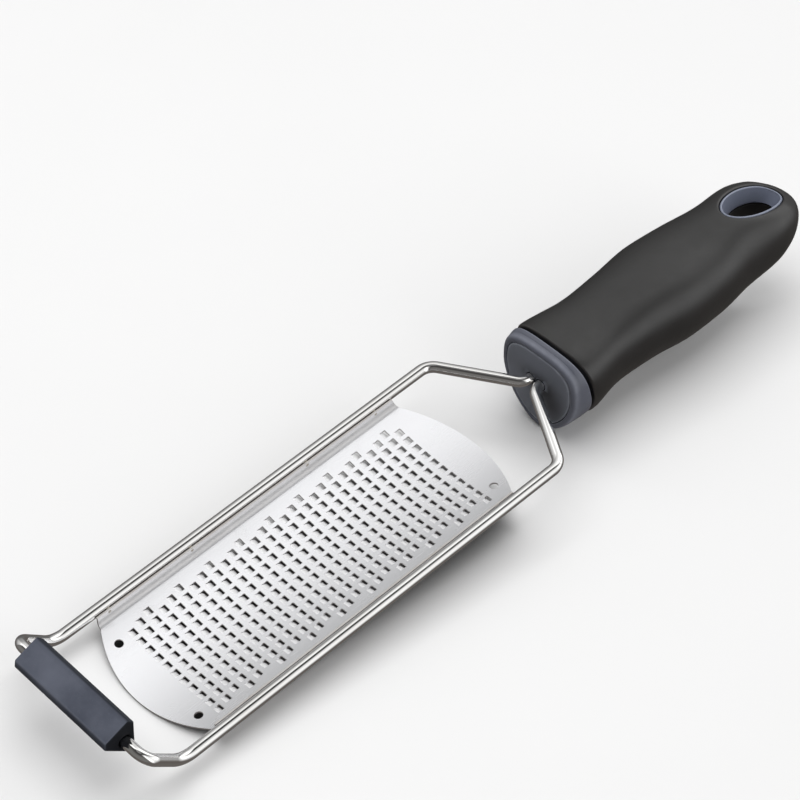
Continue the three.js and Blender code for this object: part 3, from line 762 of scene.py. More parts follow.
            area = sum(pts[ids[i]][0] * pts[ids[(i + 1) % 3]][1] - pts[ids[(i + 1) % 3]][0] * pts[ids[i]][1] for i in range(3))
            if abs(area) < 1e-7:
                continue
            tri(a[0], b[0], c[0])
            tri(a[1], c[1], b[1])
        for i in range(len(arc) - 1):
            wall(pairs[arc[i]], pairs[arc[i + 1]])

    # free edges of the flanges between the ends
    for i in range(len(lines) - 1):
        for k in (0, n_col - 1):
            wall(lines[i][k], lines[i + 1][k], 2)
    out = np.abs(np.array(verts)[:, 1])
    high = np.array(verts)[:, 2]
    # flange: mask for the painted shade on the flanges; bend: mask for the rougher bend
    layers = {
        "flange": smoothstep(24.1, 25.3, out),
        "bend": smoothstep(24.1, 24.8, out) * (1 - smoothstep(z_axis - 0.2, z_axis + 0.7, high)),
    }
    return make_object("punched_sheet", verts, faces, [MAT_SHEET, MAT_TOOTH_PAINTED_LIGHT, MAT_EDGE], layers, sharp=20, slots=mats)


# ------------------------------------------------------------------ foot sleeve
def build_foot():
    c = [np.array(p, float) for p in FOOT_SECTION]
    n = len(c)
    pts, wear_and_highlight = [], []
    for i in range(n):
        p = c[i]
        a, b = c[i - 1] - p, c[(i + 1) % n] - p
        la, lb = np.linalg.norm(a), np.linalg.norm(b)
        a, b = a / la, b / lb
        reach = min(0.9 / math.tan(math.acos(np.clip(a @ b, -1, 1)) / 2), 1.0)
        s, e = p + a * reach, p + b * reach
        for t in np.linspace(0, 1, 9):
            pts.append((1 - t) ** 2 * s + 2 * t * (1 - t) * p + t * t * e)
            wear_and_highlight.append(math.sin(math.pi * t) ** 0.7)
        straight = lb - 2.0
        if straight > 0.5:
            for t in (0.12, 0.5, 0.88) if straight > 2 else (0.5,):
                pts.append(p + b * (1.0 + straight * t))
                wear_and_highlight.append(0.0)
    pts, wear_and_highlight = np.array(pts), np.array(wear_and_highlight)
    nxt, prv = np.roll(pts, -1, 0), np.roll(pts, 1, 0)
    tang = nxt - prv
    inward = np.stack([-tang[:, 1], tang[:, 0]], 1)
    inward /= np.linalg.norm(inward, axis=1)[:, None]
    centre = pts.mean(0)
    flip = np.sign(((centre - pts) * inward).sum(1).mean())
    inward *= flip
    m = len(pts)
    bore = np.array((BAR_X, BAR_Z))
    ang = np.arctan2(pts[:, 1] - bore[1], pts[:, 0] - bore[0])
    circle = np.stack([np.cos(ang), np.sin(ang)], 1)
    L, r = FOOT_HALF_L, 0.45
    rings, layer, foot_shade = [], [], []

    def put(y, xy, w, g=0.0):
        rings.append(np.stack([xy[:, 0], np.full(m, y), xy[:, 1]], 1))
        # painted shade: the top edge toward the handle and the lower face on the -X side are darkened, and that top
        # edge loses its lighter edge colour
        far = smoothstep(-81.9, -80.9, xy[:, 0]) * smoothstep(20.5, 23.5, xy[:, 1])
        low = smoothstep(22.4, 21.4, xy[:, 1]) * smoothstep(-82.0, -83.5, xy[:, 0])
        layer.append(w * (1 - far))
        foot_shade.append(np.maximum(g, np.maximum(0.85 * far, 0.6 * low)))

    # painted shade: the last value of each row darkens the end faces, their rounded edges and the bore mouths to
    # near black
    def end(sign):
        seq = []
        for t in np.linspace(0, math.pi / 2, 7):
            seq.append((sign * (L - r + r * math.sin(t)), pts + inward * r * (1 - math.cos(t)), np.maximum(wear_and_highlight, math.sin(2 * t)) * (1 - t / 1.6), 0.95 * smoothstep(0.5, 1.3, t)))
        face = pts + inward * r
        for k in (0.12, 0.3, 0.5, 0.75, 1.0):
            seq.append((sign * (L - 0.05 * k), face * (1 - k) + (bore + circle * 2.5) * k, np.zeros(m), 1.0))
        seq.append((sign * (L - 0.25), bore + circle * 2.2, np.zeros(m), 1.0))
        seq.append((sign * (L - 0.8), bore + circle * 2.05, np.zeros(m), 1.0))
        return seq

    for row in end(-1)[::-1]:
        put(*row)
    for y in np.linspace(-L + 2.0, L - 2.0, 13):
        put(y, pts, wear_and_highlight)
    for row in end(1):
        put(*row)
    verts = np.array(rings).reshape(-1, 3)
    faces = ring_faces(len(rings), m, wrap=True)
    layers = {"wear_and_highlight": np.array(layer).ravel(), "painted_shade": np.array(foot_shade).ravel()}
    return make_object("rubber_foot", verts, faces, MAT_FOOT, layers, sharp=35)


# -------------------------------------------------------------- collar and plug
PHI = (np.arange(128) + 0.5) * 2 * math.pi / 128


def stacked(rings, layer, name, material, close_first=True, close_last=True, sharp=32.0, painted_shade=None):
    n = len(PHI)
    verts = np.array(rings).reshape(-1, 3).tolist()
    wear_and_highlight = np.repeat(np.array(layer, float), n).tolist()
    faces = ring_faces(len(rings), n)
    if close_first:
        verts.append(np.array(rings[0]).mean(0).tolist())
        wear_and_highlight.append(layer[0])
        faces += fan(len(verts) - 1, list(range(n)))
    if close_last:
        verts.append(np.array(rings[-1]).mean(0).tolist())
        wear_and_highlight.append(layer[-1])
        faces += fan(len(verts) - 1, [(len(rings) - 1) * n + j for j in range(n)])
    layers = {"wear_and_highlight": wear_and_highlight}
    if painted_shade is not None:
        layers["painted_shade"] = painted_shade(np.array(verts))
    return make_object(name, verts, faces, material, layers, sharp)


def build_core():
    f, b = COLLAR_FRONT_X, COLLAR_BACK_X
    fl, bl = COLLAR_FRONT_LEAN, COLLAR_BACK_LEAN
    rings, wear_and_highlight = [], []

    def k_ring(x, k, lean, w=0.0):
        rings.append(section_point(f, PHI, k=k, x=x, lean=lean))
        wear_and_highlight.append(w)

    k_ring(PLUG_BACK_X + 0.3, 0.842, 0.0)
    k_ring(f, 0.842, fl)
    # the edge values on the front rim and the back edge paint light lines: partly rubbed wear, partly painted
    # highlight
    k_ring(f - 0.55, 0.842, fl, 0.2)
    k_ring(f - 0.78, 0.8445, fl, 0.7)
    k_ring(f - 0.90, 0.8500, fl, 0.7)
    k_ring(f - 0.95, 0.8580, fl, 0.2)
    k_ring(f - 0.95, 0.875, fl)
    k_ring(f - 0.90, 0.893, fl)
    k_ring(f - 0.80, 0.911, fl)
    k_ring(f - 0.64, 0.928, fl, 0.1)
    k_ring(f - 0.42, 0.943, fl, 0.35)
    k_ring(f - 0.15, 0.9545, fl, 0.7)
    k_ring(f + 0.20, 0.9632, fl, 0.9)
    k_ring(f + 0.60, 0.9698, fl, 0.7)
    k_ring(f + 1.10, 0.9752, fl, 0.3)
    k_ring(f + 1.70, 0.9798, fl * 0.7, 0.1)
    k_ring(f + 2.40, 0.9860, fl + (bl - fl) * 0.3)
    for t, k in zip(np.linspace(0, 1, 6)[1:], (0.9912, 0.9960, 0.9988, 1.0, 1.0)):
        x = f + 2.4 + (b - 0.55 - f - 2.4) * t
        k_ring(x, k, fl + (bl - fl) * (0.3 + 0.7 * t))
    k_ring(b - 0.30, 0.9985, bl, 0.5)
    k_ring(b - 0.12, 0.9955, bl, 0.8)
    k_ring(b - 0.03, 0.9905, bl, 0.6)
    k_ring(b, 0.984, bl, 0.2)
    k_ring(b, 0.94, bl)
    for x, lean in ((b + 0.05, bl), (b + 2.5, bl * 0.8), (b + 5.0, bl * 0.6)):
        rings.append(section_point(x, PHI, inset=SLEEVE_WALL + 0.3, lean=lean))
        wear_and_highlight.append(0.0)
    for x in list(np.arange(109.0, CORE_END_X - 1, 3.0)) + [CORE_END_X]:
        rings.append(section_point(x, PHI, inset=SLEEVE_WALL + 0.3))
        wear_and_highlight.append(0.0)
    return stacked(rings, wear_and_highlight, "handle_collar", MAT_CORE)


def pipe_pair(radius, x0, x1):
    """One body round both tangs, for cutting their way through the plug."""
    t0 = math.acos(TANG_Y / radius)
    t = np.linspace(-(math.pi - t0), math.pi - t0, 40)
    right = np.stack([TANG_Y + radius * np.cos(t), RAIL_Z + radius * np.sin(t)], 1)
    left = np.stack([-right[:, 0], 2 * RAIL_Z - right[:, 1]], 1)
    outline = np.concatenate([right[1:-1], left[1:-1]])
    m = len(outline)
    verts = [(x, y, z) for x in (x0, x1) for y, z in outline]
    faces = ring_faces(2, m) + [tuple(range(m)), tuple(range(m, 2 * m))]
    return make_object("tang_cutter", verts, faces, MAT_PLUG)


def cut(target, cutter):
    mod = target.modifiers.new("cut", "BOOLEAN")
    mod.operation, mod.solver, mod.object = "DIFFERENCE", "EXACT", cutter
    bpy.context.view_layer.update()
    dg = bpy.context.evaluated_depsgraph_get()
    made = bpy.data.meshes.new_from_object(target.evaluated_get(dg), preserve_all_data_layers=True, depsgraph=dg)
    target.modifiers.clear()
    old = target.data
    target.data = made
    made.name = old.name
    bpy.data.meshes.remove(old)
    bpy.data.objects.remove(cutter)


def build_plug():
    f, lean, s = PLUG_FRONT_X, COLLAR_FRONT_LEAN, PLUG_SCALE
    rings, wear_and_highlight = [], []
    # the edge values on the rim rows paint a light ring line round the plug: partly rubbed wear, partly painted
    # highlight
    profile = [
        (0.0, 0.06, 0), (0.12, 0.16, 0), (0.28, 0.28, 0), (0.44, 0.40, 0), (0.60, 0.52, 0), (0.74, 0.63, 0),
        (0.86, 0.73, 0), (0.96, 0.82, 0), (1.03, 0.89, 0), (1.07, 0.935, 0.1), (1.10, 0.955, 0.3),
        (1.15, 0.968, 0.6), (1.24, 0.978, 0.9), (1.38, 0.9845, 0.7), (1.60, 0.9875, 0.2),
    ]
    for dx, k, w in profile:
        rings.append(section_point(COLLAR_FRONT_X, PHI, k=s * k * 1.008, x=f + dx, lean=lean))
        wear_and_highlight.append(w)
    for x in (f + 2.4, PLUG_BACK_X):
        rings.append(section_point(COLLAR_FRONT_X, PHI, k=s * 0.995, x=x, lean=0.0))
        wear_and_highlight.append(0.0)

    # painted shade: darker round the tang entry and toward the lower -Y side of the face, where the legs and the
    # recess shade it
    def painted_shade(v):
        near = np.hypot(np.maximum(np.abs(v[:, 1]) - TANG_Y, 0), v[:, 2] - RAIL_Z)
        low = np.exp(-(((v[:, 1] + 6.5) / 6.0) ** 2 + ((v[:, 2] - 0.0) / 9.0) ** 2))
        return np.clip(0.85 * np.exp(-((near / 3.2) ** 2)) + 0.85 * low, 0, 0.92)

    ob = stacked(rings, wear_and_highlight, "collar_plug", MAT_PLUG, painted_shade=painted_shade)
    cut(ob, pipe_pair(2.08, f - 4, f + 4.5))
    me = ob.data
    me.polygons.foreach_set("use_smooth", np.ones(len(me.polygons), bool))
    me.set_sharp_from_angle(angle=math.radians(34))
    return ob


# ----------------------------------------------------------------------- handle
def oval(half_axes, t, grow=0.0):
    ax, ay = half_axes
    x, y = ax * np.cos(t), ay * np.sin(t)
    nx, ny = np.cos(t) / ax, np.sin(t) / ay
    s = np.hypot(nx, ny)
    return HANG_X + x + grow * nx / s, y + grow * ny / s


def build_grip():
    N, M = 112, 128
    front, rf = SLEEVE_FRONT_X, 0.9
    phi = np.arange(N + 1) * 2 * math.pi / N
    xs = np.concatenate([np.arange(front + rf, 188.5, 1.6), 189.4 + (TIP_X - 189.4) * np.sin(np.linspace(0, math.pi / 2, 22))])
    flat = 15.0

    def lean_at(x):
        return COLLAR_BACK_LEAN * np.interp(x, [front + rf, 107, 112], [1, 0.4, 0])

    verts, wear_and_highlight, pts, edges = [], [], [], []
    ids2d = []

    def add(p, w=0.0):
        verts.append([float(c) for c in p])
        wear_and_highlight.append(float(w))
        return len(verts) - 1

    t = np.arange(M) * 2 * math.pi / M
    spread = (0.0, 0.04, 0.14, 0.3, 0.5, 0.75, 1.15, 1.8, 2.7)
    hole_rings = {}
    for side, half_axes, radius in ((1, SEAT, 0.75), (-1, FOOT_BORE, 1.0)):
        loops = []
        for s in spread:
            s2 = s * radius / 0.75
            x, y = oval(half_axes, t, s2)
            surf = top_height(x, y) if side > 0 else low_height(x, y)
            fall = radius - np.sqrt(np.maximum(radius**2 - np.maximum(radius - s2, 0) ** 2, 0))
            level = section(x)[3]
            ang = np.arctan2(surf - level, y) % (2 * math.pi)
            z = surf - side * fall
            loop = []
            for i in range(M):
                # light line round the hole rim from the edge value: partly rubbed wear, partly painted highlight
                w = math.exp(-((s2 - 0.3 * radius) / (0.35 * radius)) ** 2) * 0.8
                loop.append(add((x[i], y[i], z[i]), w if side > 0 else 0.0))
                pts.append(Vector((x[i], flat * ang[i])))
                ids2d.append(loop[-1])
            k0 = len(pts) - M
            edges.extend((k0 + i, k0 + (i + 1) % M) for i in range(M))
            loops.append(loop)
        hole_rings[side] = loops

    ring_ids = {}
    grid_ids = {}
    for i, x in enumerate(xs):
        for j in range(N + 1):
            p = section_point(x, phi[j], lean=lean_at(x))
            inside = False
            for side, half_axes, radius in ((1, SEAT, 0.75), (-1, FOOT_BORE, 1.0)):
                g = 2.7 * radius / 0.75 + 0.55
                if (p[2] > section(x)[3]) == (side > 0):
                    if ((p[0] - HANG_X) / (half_axes[0] + g)) ** 2 + (p[1] / (half_axes[1] + g)) ** 2 < 1:
                        inside = True
            if inside:
                continue
            if j == N:
                v = grid_ids[(i, 0)]
            else:
                v = add(p)
            grid_ids[(i, j)] = v
            ring_ids[(i, j)] = len(pts)
            pts.append(Vector((x, flat * phi[j])))
            ids2d.append(v)
    last = len(xs) - 1
    for j in range(N):
        edges.append((ring_ids[(0, j)], ring_ids[(0, j + 1)]))
        edges.append((ring_ids[(last, j)], ring_ids[(last, j + 1)]))
    for i in range(last):
        edges.append((ring_ids[(i, 0)], ring_ids[(i + 1, 0)]))
        edges.append((ring_ids[(i, N)], ring_ids[(i + 1, N)]))
    out_v, out_e, out_f, orig_v, orig_e, orig_f = delaunay_2d_cdt(pts, edges, [], 0, 1e-7)
    where = [o[0] for o in orig_v]
    inner = [set(hole_rings[1][0]), set(hole_rings[-1][0])]
    faces = []
    for f in out_f:
        v = [ids2d[where[q]] for q in f]
        if len(set(v)) < 3 or any(all(q in s for q in v) for s in inner):
            continue
        a, b, c = (pts[where[q]] for q in f)
        if abs((b - a).cross(c - a)) < 1e-7:
            continue
        faces.append(tuple(v))

    # rounded front edge, front face and the inside over the core
    def strip(prev, points, w):
        ring = [add(p, w) for p in points]
        for j in range(N):
            k = (j + 1) % N
            faces.append((prev[j], prev[k], ring[k], ring[j]))
        return ring

    prev = [grid_ids[(0, j)] for j in range(N)]
    bl = COLLAR_BACK_LEAN
    # the front edge rounding gets a light line from the edge value: partly rubbed wear, partly painted highlight
    for a in np.linspace(0, math.pi / 2, 8)[1:]:
        pos = section_point(front + rf, phi[:N], inset=rf * (1 - math.cos(a)), x=front + rf * (1 - math.sin(a)), lean=bl)
        prev = strip(prev, pos, math.sin(2 * a) ** 0.8 if a < 1.57 else 0.0)
    prev = strip(prev, section_point(front + rf, phi[:N], inset=1.7, x=front, lean=bl), 0.0)
    prev = strip(prev, section_point(front + rf, phi[:N], inset=SLEEVE_WALL, x=front, lean=bl), 0.0)
    for x in list(np.arange(105.0, CORE_END_X, 6.0)) + [CORE_END_X + 0.3]:
        prev = strip(prev, section_point(x, phi[:N], inset=SLEEVE_WALL, lean=lean_at(x)), 0.0)
    centre = add((CORE_END_X + 0.3, 0, section(CORE_END_X)[3]))
    faces += fan(centre, prev)
    tip = [grid_ids[(last, j)] for j in range(N)]
    faces += fan(add((TIP_X + 0.06, 0, section(TIP_X)[3])), tip)

    # the way through: seat of the liner, step and lower bore
    upper, lower = hole_rings[1][0], hole_rings[-1][0]
    top = np.array([verts[v] for v in upper])

    def tube(prev, points):
        ring = [add(p) for p in points]
        for j in range(M):
            k = (j + 1) % M
            faces.append((prev[j], prev[k], ring[k], ring[j]))
        return ring

    sx, sy = oval((STEP_IN[0] + 1.1, STEP_IN[1] + 1.1), t)
    seat = np.stack([sx, sy, STEP_Z - 0.3 - STEP_TILT * (sx - HANG_X)], 1)
    prev = upper
    for k in (0.15, 0.4, 0.7, 1.0):
        prev = tube(prev, top * (1 - k) + seat * k)
    bx, by = oval(BORE, t)
    prev = tube(prev, np.stack([bx, by, STEP_Z - 0.3 - STEP_TILT * (bx - HANG_X)], 1))
    low = np.array([verts[v] for v in lower])
    deep = np.stack([bx, by, np.full(M, -3.0)], 1)
    high = np.stack([bx, by, STEP_Z - 0.5 - STEP_TILT * (bx - HANG_X)], 1)
    for k in (0.02, 0.5, 1.0):
        prev = tube(prev, high * (1 - k) + deep * k)
    for k in (0.3, 0.6, 0.85):
        prev = tube(prev, deep * (1 - k) + low * k)
    for j in range(M):
        k = (j + 1) % M
        faces.append((prev[j], prev[k], lower[k], lower[j]))
    return make_object("soft_grip", verts, faces, MAT_GRIP, {"wear_and_highlight": wear_and_highlight}, sharp=38)


def build_liner():
    M = 144
    t = np.arange(M) * 2 * math.pi / M
    sink, wall = 0.55, RIM_OUT[0] - RIM_IN[0]
    rings, wear_and_highlight = [], []

    def low_ring(half_axes, lift):
        x, y = oval(half_axes, t)
        return np.stack([x, y, STEP_Z + lift - STEP_TILT * (x - HANG_X)], 1)

    def rim_ring(half_axes, drop):
        x, y = oval(half_axes, t)
        return np.stack([x, y, top_height(x, y) - sink - drop], 1)

    def put(r, w=0.0):
        rings.append(r)
        wear_and_highlight.append(w)

    in_low = low_ring(STEP_IN, 0.15)
    out_low = low_ring((STEP_IN[0] + wall, STEP_IN[1] + wall), 0.0)
    out_top, in_top = rim_ring(RIM_OUT, 0.42), rim_ring(RIM_IN, 0.45)
    for k in (0, 0.33, 0.66, 1.0):
        put(out_low * (1 - k) + out_top * k)
    r = wall / 2
    # the edge values round the rim paint a light rim line: partly rubbed wear, partly painted highlight
    for a in np.linspace(0, math.pi, 13)[1:-1]:
        half = (RIM_IN[0] + r + r * math.cos(a), RIM_IN[1] + r + r * math.cos(a))
        put(rim_ring(half, 0.42 * (1 - math.sin(a)) ** 1.0), math.sin(a))
    put(in_top, 0.25)
    for k in (0.06, 0.15, 0.3, 0.45, 0.6, 0.75, 0.9, 1.0):
        bulge = 0.25 * math.sin(math.pi * k)
        ring = in_top * (1 - k) + in_low * k
        put(ring, 0.0)
    put(low_ring((STEP_IN[0] + 0.12, STEP_IN[1] + 0.12), 0.0))
    verts = np.array(rings).reshape(-1, 3)
    faces = ring_faces(len(rings), M, wrap=True)
    return make_object("hole_liner", verts, faces, MAT_LINER, {"wear_and_highlight": np.repeat(wear_and_highlight, M)}, sharp=50)


rod = build_rod()
welds = build_welds()
sheet = build_sheet()
foot = build_foot()
core = build_core()
plug = build_plug()
grip = build_grip()
liner = build_liner()

for piece, node, slot in (
    (rod, "wire_frame", "rod_steel"), (sheet, "grater_plate", "sheet_steel"), (foot, "foot_sleeve", "foot_rubber"),
    (core, "handle_core", "core_plastic"), (plug, "end_plug", "plug_plastic"), (grip, "grip_sleeve", "grip_rubber"),
    (liner, "hanging_liner", "liner_plastic"), (welds, None, "rod_steel"),
):
    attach(piece, "root")
    if node:
        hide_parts(node)

# ------------------------------------------------------------------------ stage
# brightness round the tool's length: 0 is overhead, negative is toward +Y
SKY = [
    (-180, 0.10), (-96, 0.12), (-80, 0.28), (-60, 0.36), (-48, 0.60), (-36, 0.84), (-25, 1.03), (-10, 1.20),
    (10, 1.20), (26, 0.64), (36, 0.68), (46, 0.92), (58, 1.12), (84, 1.12), (97, 0.84), (110, 0.58), (126, 0.36),
    (145, 0.22), (180, 0.12),
]
WINDOW = (0.36, 0.45)     # x + y where the light behind begins
FRONT = (-0.36, -0.52)    # y where the light in front begins


def build_floor():
    m = Nodes("pale_floor")
    n = m.noise(m.coords((6, 6, 6)), 1.0, 3.0)
    m.set(Base_Color=m.mix(n, (0.80, 0.80, 0.80), (0.84, 0.84, 0.84)), Roughness=0.6)
    m.bsdf.inputs["Specular IOR Level"].default_value = 0.15
    me = bpy.data.meshes.new("floor")
    s = 6.0
    me.from_pydata([(-s, -s, 0), (s, -s, 0), (s, s, 0), (-s, s, 0)], [], [(0, 1, 2, 3)])
    me.materials.append(m.mat)
    ob = bpy.data.objects.new("floor", me)
    scene.collection.objects.link(ob)
    ob.location.z = -0.0002
    ob.visible_glossy = False


def build_world():
    """Two wide soft lights, behind and in front on the right, in a dim room
    that is a little lighter beyond the foot. The camera sees plain pale grey."""
    world = bpy.data.worlds.new("studio")
    scene.world = world
    world.use_nodes = True
    t = world.node_tree
    for n in list(t.nodes):
        t.nodes.remove(n)

    def new(kind, **values):
        node = t.nodes.new(kind)
        for key, value in values.items():
            setattr(node, key, value)
        return node

    out = new("ShaderNodeOutputWorld")
    seen, lit = new("ShaderNodeBackground"), new("ShaderNodeBackground")
    seen.inputs["Color"].default_value = (0.90, 0.90, 0.90, 1)
    lit.inputs["Strength"].default_value = 1.0
    path, mix = new("ShaderNodeLightPath"), new("ShaderNodeMixShader")
    coord, sep = new("ShaderNodeTexCoord"), new("ShaderNodeSeparateXYZ")
    neg = new("ShaderNodeMath", operation="MULTIPLY")
    neg.inputs[1].default_value = -1.0
    ang = new("ShaderNodeMath", operation="ARCTAN2")
    span = new("ShaderNodeMapRange")
    span.inputs["From Min"].default_value = -math.pi
    span.inputs["From Max"].default_value = math.pi
    ramp = new("ShaderNodeValToRGB")
    els = ramp.color_ramp.elements
    while len(els) > 1:
        els.remove(els[0])
    els[0].position = 0.0
    for deg, v in SKY[1:]:
        els.new((deg + 180) / 360)
    for e, (deg, v) in zip(els, SKY):
        e.color = (v, v, v, 1)
    turn = new("ShaderNodeMapping", vector_type="VECTOR")
    turn.inputs["Rotation"].default_value = (0, PITCH, 0)

    def ease(low, high):
        node = new("ShaderNodeMapRange", interpolation_type="SMOOTHSTEP")
        node.inputs["From Min"].default_value = low
        node.inputs["From Max"].default_value = high
        return node

    dot = new("ShaderNodeVectorMath", operation="DOT_PRODUCT")
    dot.inputs[1].default_value = (1.0, 1.0, 0.0)
    window, front, side, stop = ease(*WINDOW), ease(*FRONT), ease(-0.35, 0.05), ease(1.05, 0.85)
    narrow = new("ShaderNodeMath", operation="MULTIPLY")
    panel = ease(0.955, 0.985)
    panel.inputs["To Max"].default_value = 0.10
    over = new("ShaderNodeMath", operation="MAXIMUM")
    far = ease(0.50, 0.80)
    far.inputs["To Max"].default_value = 0.35
    boost = new("ShaderNodeMath", operation="ADD")
    gain, lift = ease(0.30, 0.0), new("ShaderNodeVectorMath", operation="SCALE")
    gain.inputs["To Min"].default_value, gain.inputs["To Max"].default_value = 1.0, 2.0
    both = new("ShaderNodeMath", operation="MULTIPLY")
    most = new("ShaderNodeMath", operation="MAXIMUM")
    room = new("ShaderNodeMix", data_type="RGBA")
    low, west = ease(0.92, 0.45), ease(0.05, -0.65)
    wall, dusk = new("ShaderNodeMath", operation="MULTIPLY"), new("ShaderNodeMix", data_type="RGBA")
    dusk.inputs[6].default_value = (0.060, 0.057, 0.057, 1)
    dusk.inputs[7].default_value = (0.19, 0.185, 0.18, 1)
    fade, deep = ease(-0.55, -0.12), ease(-0.25, -0.95)
    near = new("ShaderNodeMix", data_type="RGBA")
    under = new("ShaderNodeMix", data_type="RGBA")
    under.inputs[6].default_value = (0.115, 0.099, 0.091, 1)
    under.inputs[7].default_value = (0.145, 0.133, 0.125, 1)
    L = t.links.new
    L(coord.outputs["Generated"], turn.inputs["Vector"])
    L(turn.outputs["Vector"], sep.inputs[0])
    L(turn.outputs["Vector"], dot.inputs[0])
    L(sep.outputs["Y"], neg.inputs[0])
    L(neg.outputs[0], ang.inputs[0])
    L(sep.outputs["Z"], ang.inputs[1])
    L(ang.outputs[0], span.inputs["Value"])
    L(span.outputs["Result"], ramp.inputs["Fac"])
    L(dot.outputs["Value"], window.inputs["Value"])
    L(sep.outputs["Y"], front.inputs["Value"])
    L(sep.outputs["X"], side.inputs["Value"])
    L(front.outputs["Result"], both.inputs[0])
    L(narrow.outputs[0], both.inputs[1])
    L(window.outputs["Result"], most.inputs[0])
    L(both.outputs[0], most.inputs[1])
    L(most.outputs[0], over.inputs[0])
    L(panel.outputs["Result"], over.inputs[1])
    L(over.outputs[0], room.inputs[0])
    L(sep.outputs["Z"], low.inputs["Value"])
    L(sep.outputs["X"], west.inputs["Value"])
    L(low.outputs["Result"], wall.inputs[0])
    L(west.outputs["Result"], wall.inputs[1])
    L(wall.outputs[0], dusk.inputs[0])
    L(dusk.outputs[2], room.inputs[6])
    L(sep.outputs["X"], gain.inputs["Value"])
    L(ramp.outputs["Color"], lift.inputs[0])
    L(sep.outputs["X"], far.inputs["Value"])
    L(gain.outputs["Result"], boost.inputs[0])
    L(far.outputs["Result"], boost.inputs[1])
    L(boost.outputs[0], lift.inputs["Scale"])
    L(sep.outputs["X"], stop.inputs["Value"])
    L(side.outputs["Result"], narrow.inputs[0])
    L(stop.outputs["Result"], narrow.inputs[1])
    L(sep.outputs["Z"], panel.inputs["Value"])
    L(lift.outputs["Vector"], room.inputs[7])
    L(sep.outputs["Z"], deep.inputs["Value"])
    L(deep.outputs["Result"], under.inputs[0])
    L(sep.outputs["Z"], fade.inputs["Value"])
    L(fade.outputs["Result"], near.inputs[0])
    L(under.outputs[2], near.inputs[6])
    L(room.outputs[2], near.inputs[7])
    L(near.outputs[2], lit.inputs["Color"])
    L(path.outputs["Is Camera Ray"], mix.inputs[0])
    L(lit.outputs[0], mix.inputs[1])
    L(seen.outputs[0], mix.inputs[2])
    L(mix.outputs[0], out.inputs["Surface"])


def softbox(name, direction, distance, size, radiance):
    light = bpy.data.lights.new(name, "AREA")
    light.shape, light.size, light.size_y = "RECTANGLE", size[0], size[1]
    light.energy = radiance * math.pi * size[0] * size[1]
    ob = bpy.data.objects.new(name, light)
    scene.collection.objects.link(ob)
    d = Vector(direction).normalized()
    ob.location = d * distance
    ob.rotation_euler = d.to_track_quat("Z", "Y").to_euler()
    ob.visible_camera = False
    ob.visible_glossy = False
    return ob


def flag(name, verts, faces, cover):
    """A dark sheet that blocks light, seen by no camera and no reflection: it paints shade on what lies below it."""
    me = bpy.data.meshes.new(name)
    me.from_pydata(verts, [], faces)
    layer = me.attributes.new("cover", "FLOAT", "POINT")
    layer.data.foreach_set("value", np.array(cover, np.float32))
    m = Nodes(name + "_shade")
    shade_noise = m.noise(m.coords((900, 900, 900)), 1.0, 2.0)
    m.set(Base_Color=m.mix(shade_noise, (0.004, 0.004, 0.004), (0.008, 0.008, 0.008)), Roughness=0.95)
    t = m.mat.node_tree
    out = next(n for n in t.nodes if n.type == "OUTPUT_MATERIAL")
    shade_bsdf = out.inputs["Surface"].links[0].from_socket
    clear, blend, much = (t.nodes.new(k) for k in
                          ("ShaderNodeBsdfTransparent", "ShaderNodeMixShader", "ShaderNodeAttribute"))
    much.attribute_name = "cover"
    t.links.new(much.outputs["Fac"], blend.inputs[0])
    t.links.new(clear.outputs[0], blend.inputs[1])
    t.links.new(shade_bsdf, blend.inputs[2])
    t.links.new(blend.outputs[0], out.inputs["Surface"])
    me.materials.append(m.mat)
    ob = bpy.data.objects.new(name, me)
    scene.collection.objects.link(ob)
    ob.visible_camera = ob.visible_glossy = False


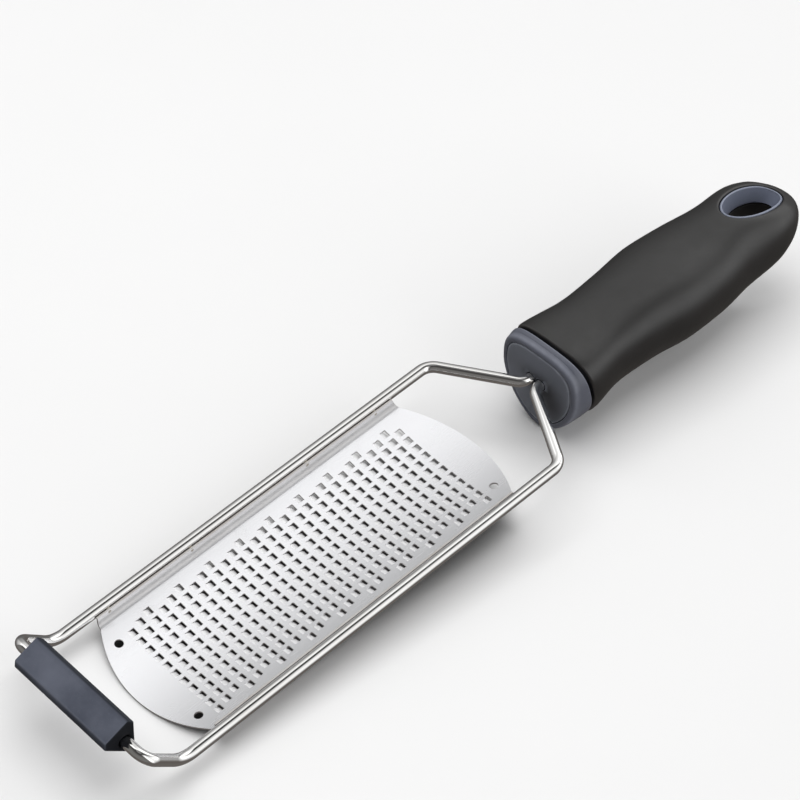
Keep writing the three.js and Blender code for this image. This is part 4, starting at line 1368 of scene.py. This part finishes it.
def light_flags():
    """Painted shadow under the sheet: keep light that falls through the teeth off
    the floor below them, so that the openings read dark: one flag close under the
    sheet, and a soft painted contact shadow on the floor, inset evenly from the outline, that fades out with height."""
    def reach(v):
        return END_APEX - END_RADIUS + math.sqrt(END_RADIUS**2 - v * v)

    nx, ny = 40, 12
    verts, faces = [], []
    for i in range(nx + 1):
        for j in range(ny + 1):
            v = -24.0 + 48.0 * j / ny
            u = SHEET_X + (reach(v) - 0.8) * (2 * i / nx - 1)
            row = TOOL @ (Vector((u, v, CROWN * v * v - 1.65)) * MM)
            verts.append((row.x, row.y, max(row.z, 0.0001)))
    for i in range(nx):
        for j in range(ny):
            a = i * (ny + 1) + j
            faces.append((a, a + ny + 1, a + ny + 2, a + 1))
    flag("sheet_flag", verts, faces, [1.0] * len(verts))

    nx, ny = 90, 60
    verts, faces, cover = [], [], []
    for i in range(nx + 1):
        for j in range(ny + 1):
            u, v = SHEET_X - 76.0 + 152.0 * i / nx, -31.0 + 62.0 * j / ny
            row = TOOL @ (Vector((u, v, 0)) * MM)
            high = max(row.z / MM, 0.0)
            inside = min(25.0 - abs(v), reach(v) - abs(u - SHEET_X)) - 1.8
            wide = 1.0 + 0.50 * high
            verts.append((row.x, row.y, 0.00008))
            cover.append(0.80 * smoothstep(-wide, 0.6 * wide, inside))
    for i in range(nx):
        for j in range(ny):
            a = i * (ny + 1) + j
            faces.append((a, a + ny + 1, a + ny + 2, a + 1))
    flag("floor_flag", verts, faces, cover)


build_floor()
build_world()
light_flags()
softbox("key_softbox", (0.0, 0.14, 0.99), 1.3, (1.6, 1.3), 1.98)

# ----------------------------------------------------------------------- camera
R = np.array([
    (0.7270576500655223, -0.6844538002076104, -0.053945980967642304),
    (-0.539813006504785, -0.5213219443968166, -0.6609276422563877),
    (0.42425121271419564, 0.5096532406172682, -0.7485081715244338),
])
right, up, back = R[0], -R[1], -R[2]
pose = Matrix((
    (right[0], up[0], back[0], -0.28545246859809146),
    (right[1], up[1], back[1], -0.38923208320419883),
    (right[2], up[2], back[2], 0.6124134887598299),
    (0, 0, 0, 1),
))
cam_data = bpy.data.cameras.new("camera")
cam_data.sensor_fit, cam_data.sensor_width = "HORIZONTAL", 36.0
cam_data.lens = 2684.2819248881306 / 800 * 36.0
cam_data.shift_x, cam_data.shift_y = -0.000625, 0.000625
cam_data.clip_start, cam_data.clip_end = 0.05, 50.0
camera = bpy.data.objects.new("camera", cam_data)
scene.collection.objects.link(camera)
camera.matrix_world = TOOL @ pose
scene.camera = camera
scene.view_settings.view_transform = "Standard"
scene.view_settings.look = "None"
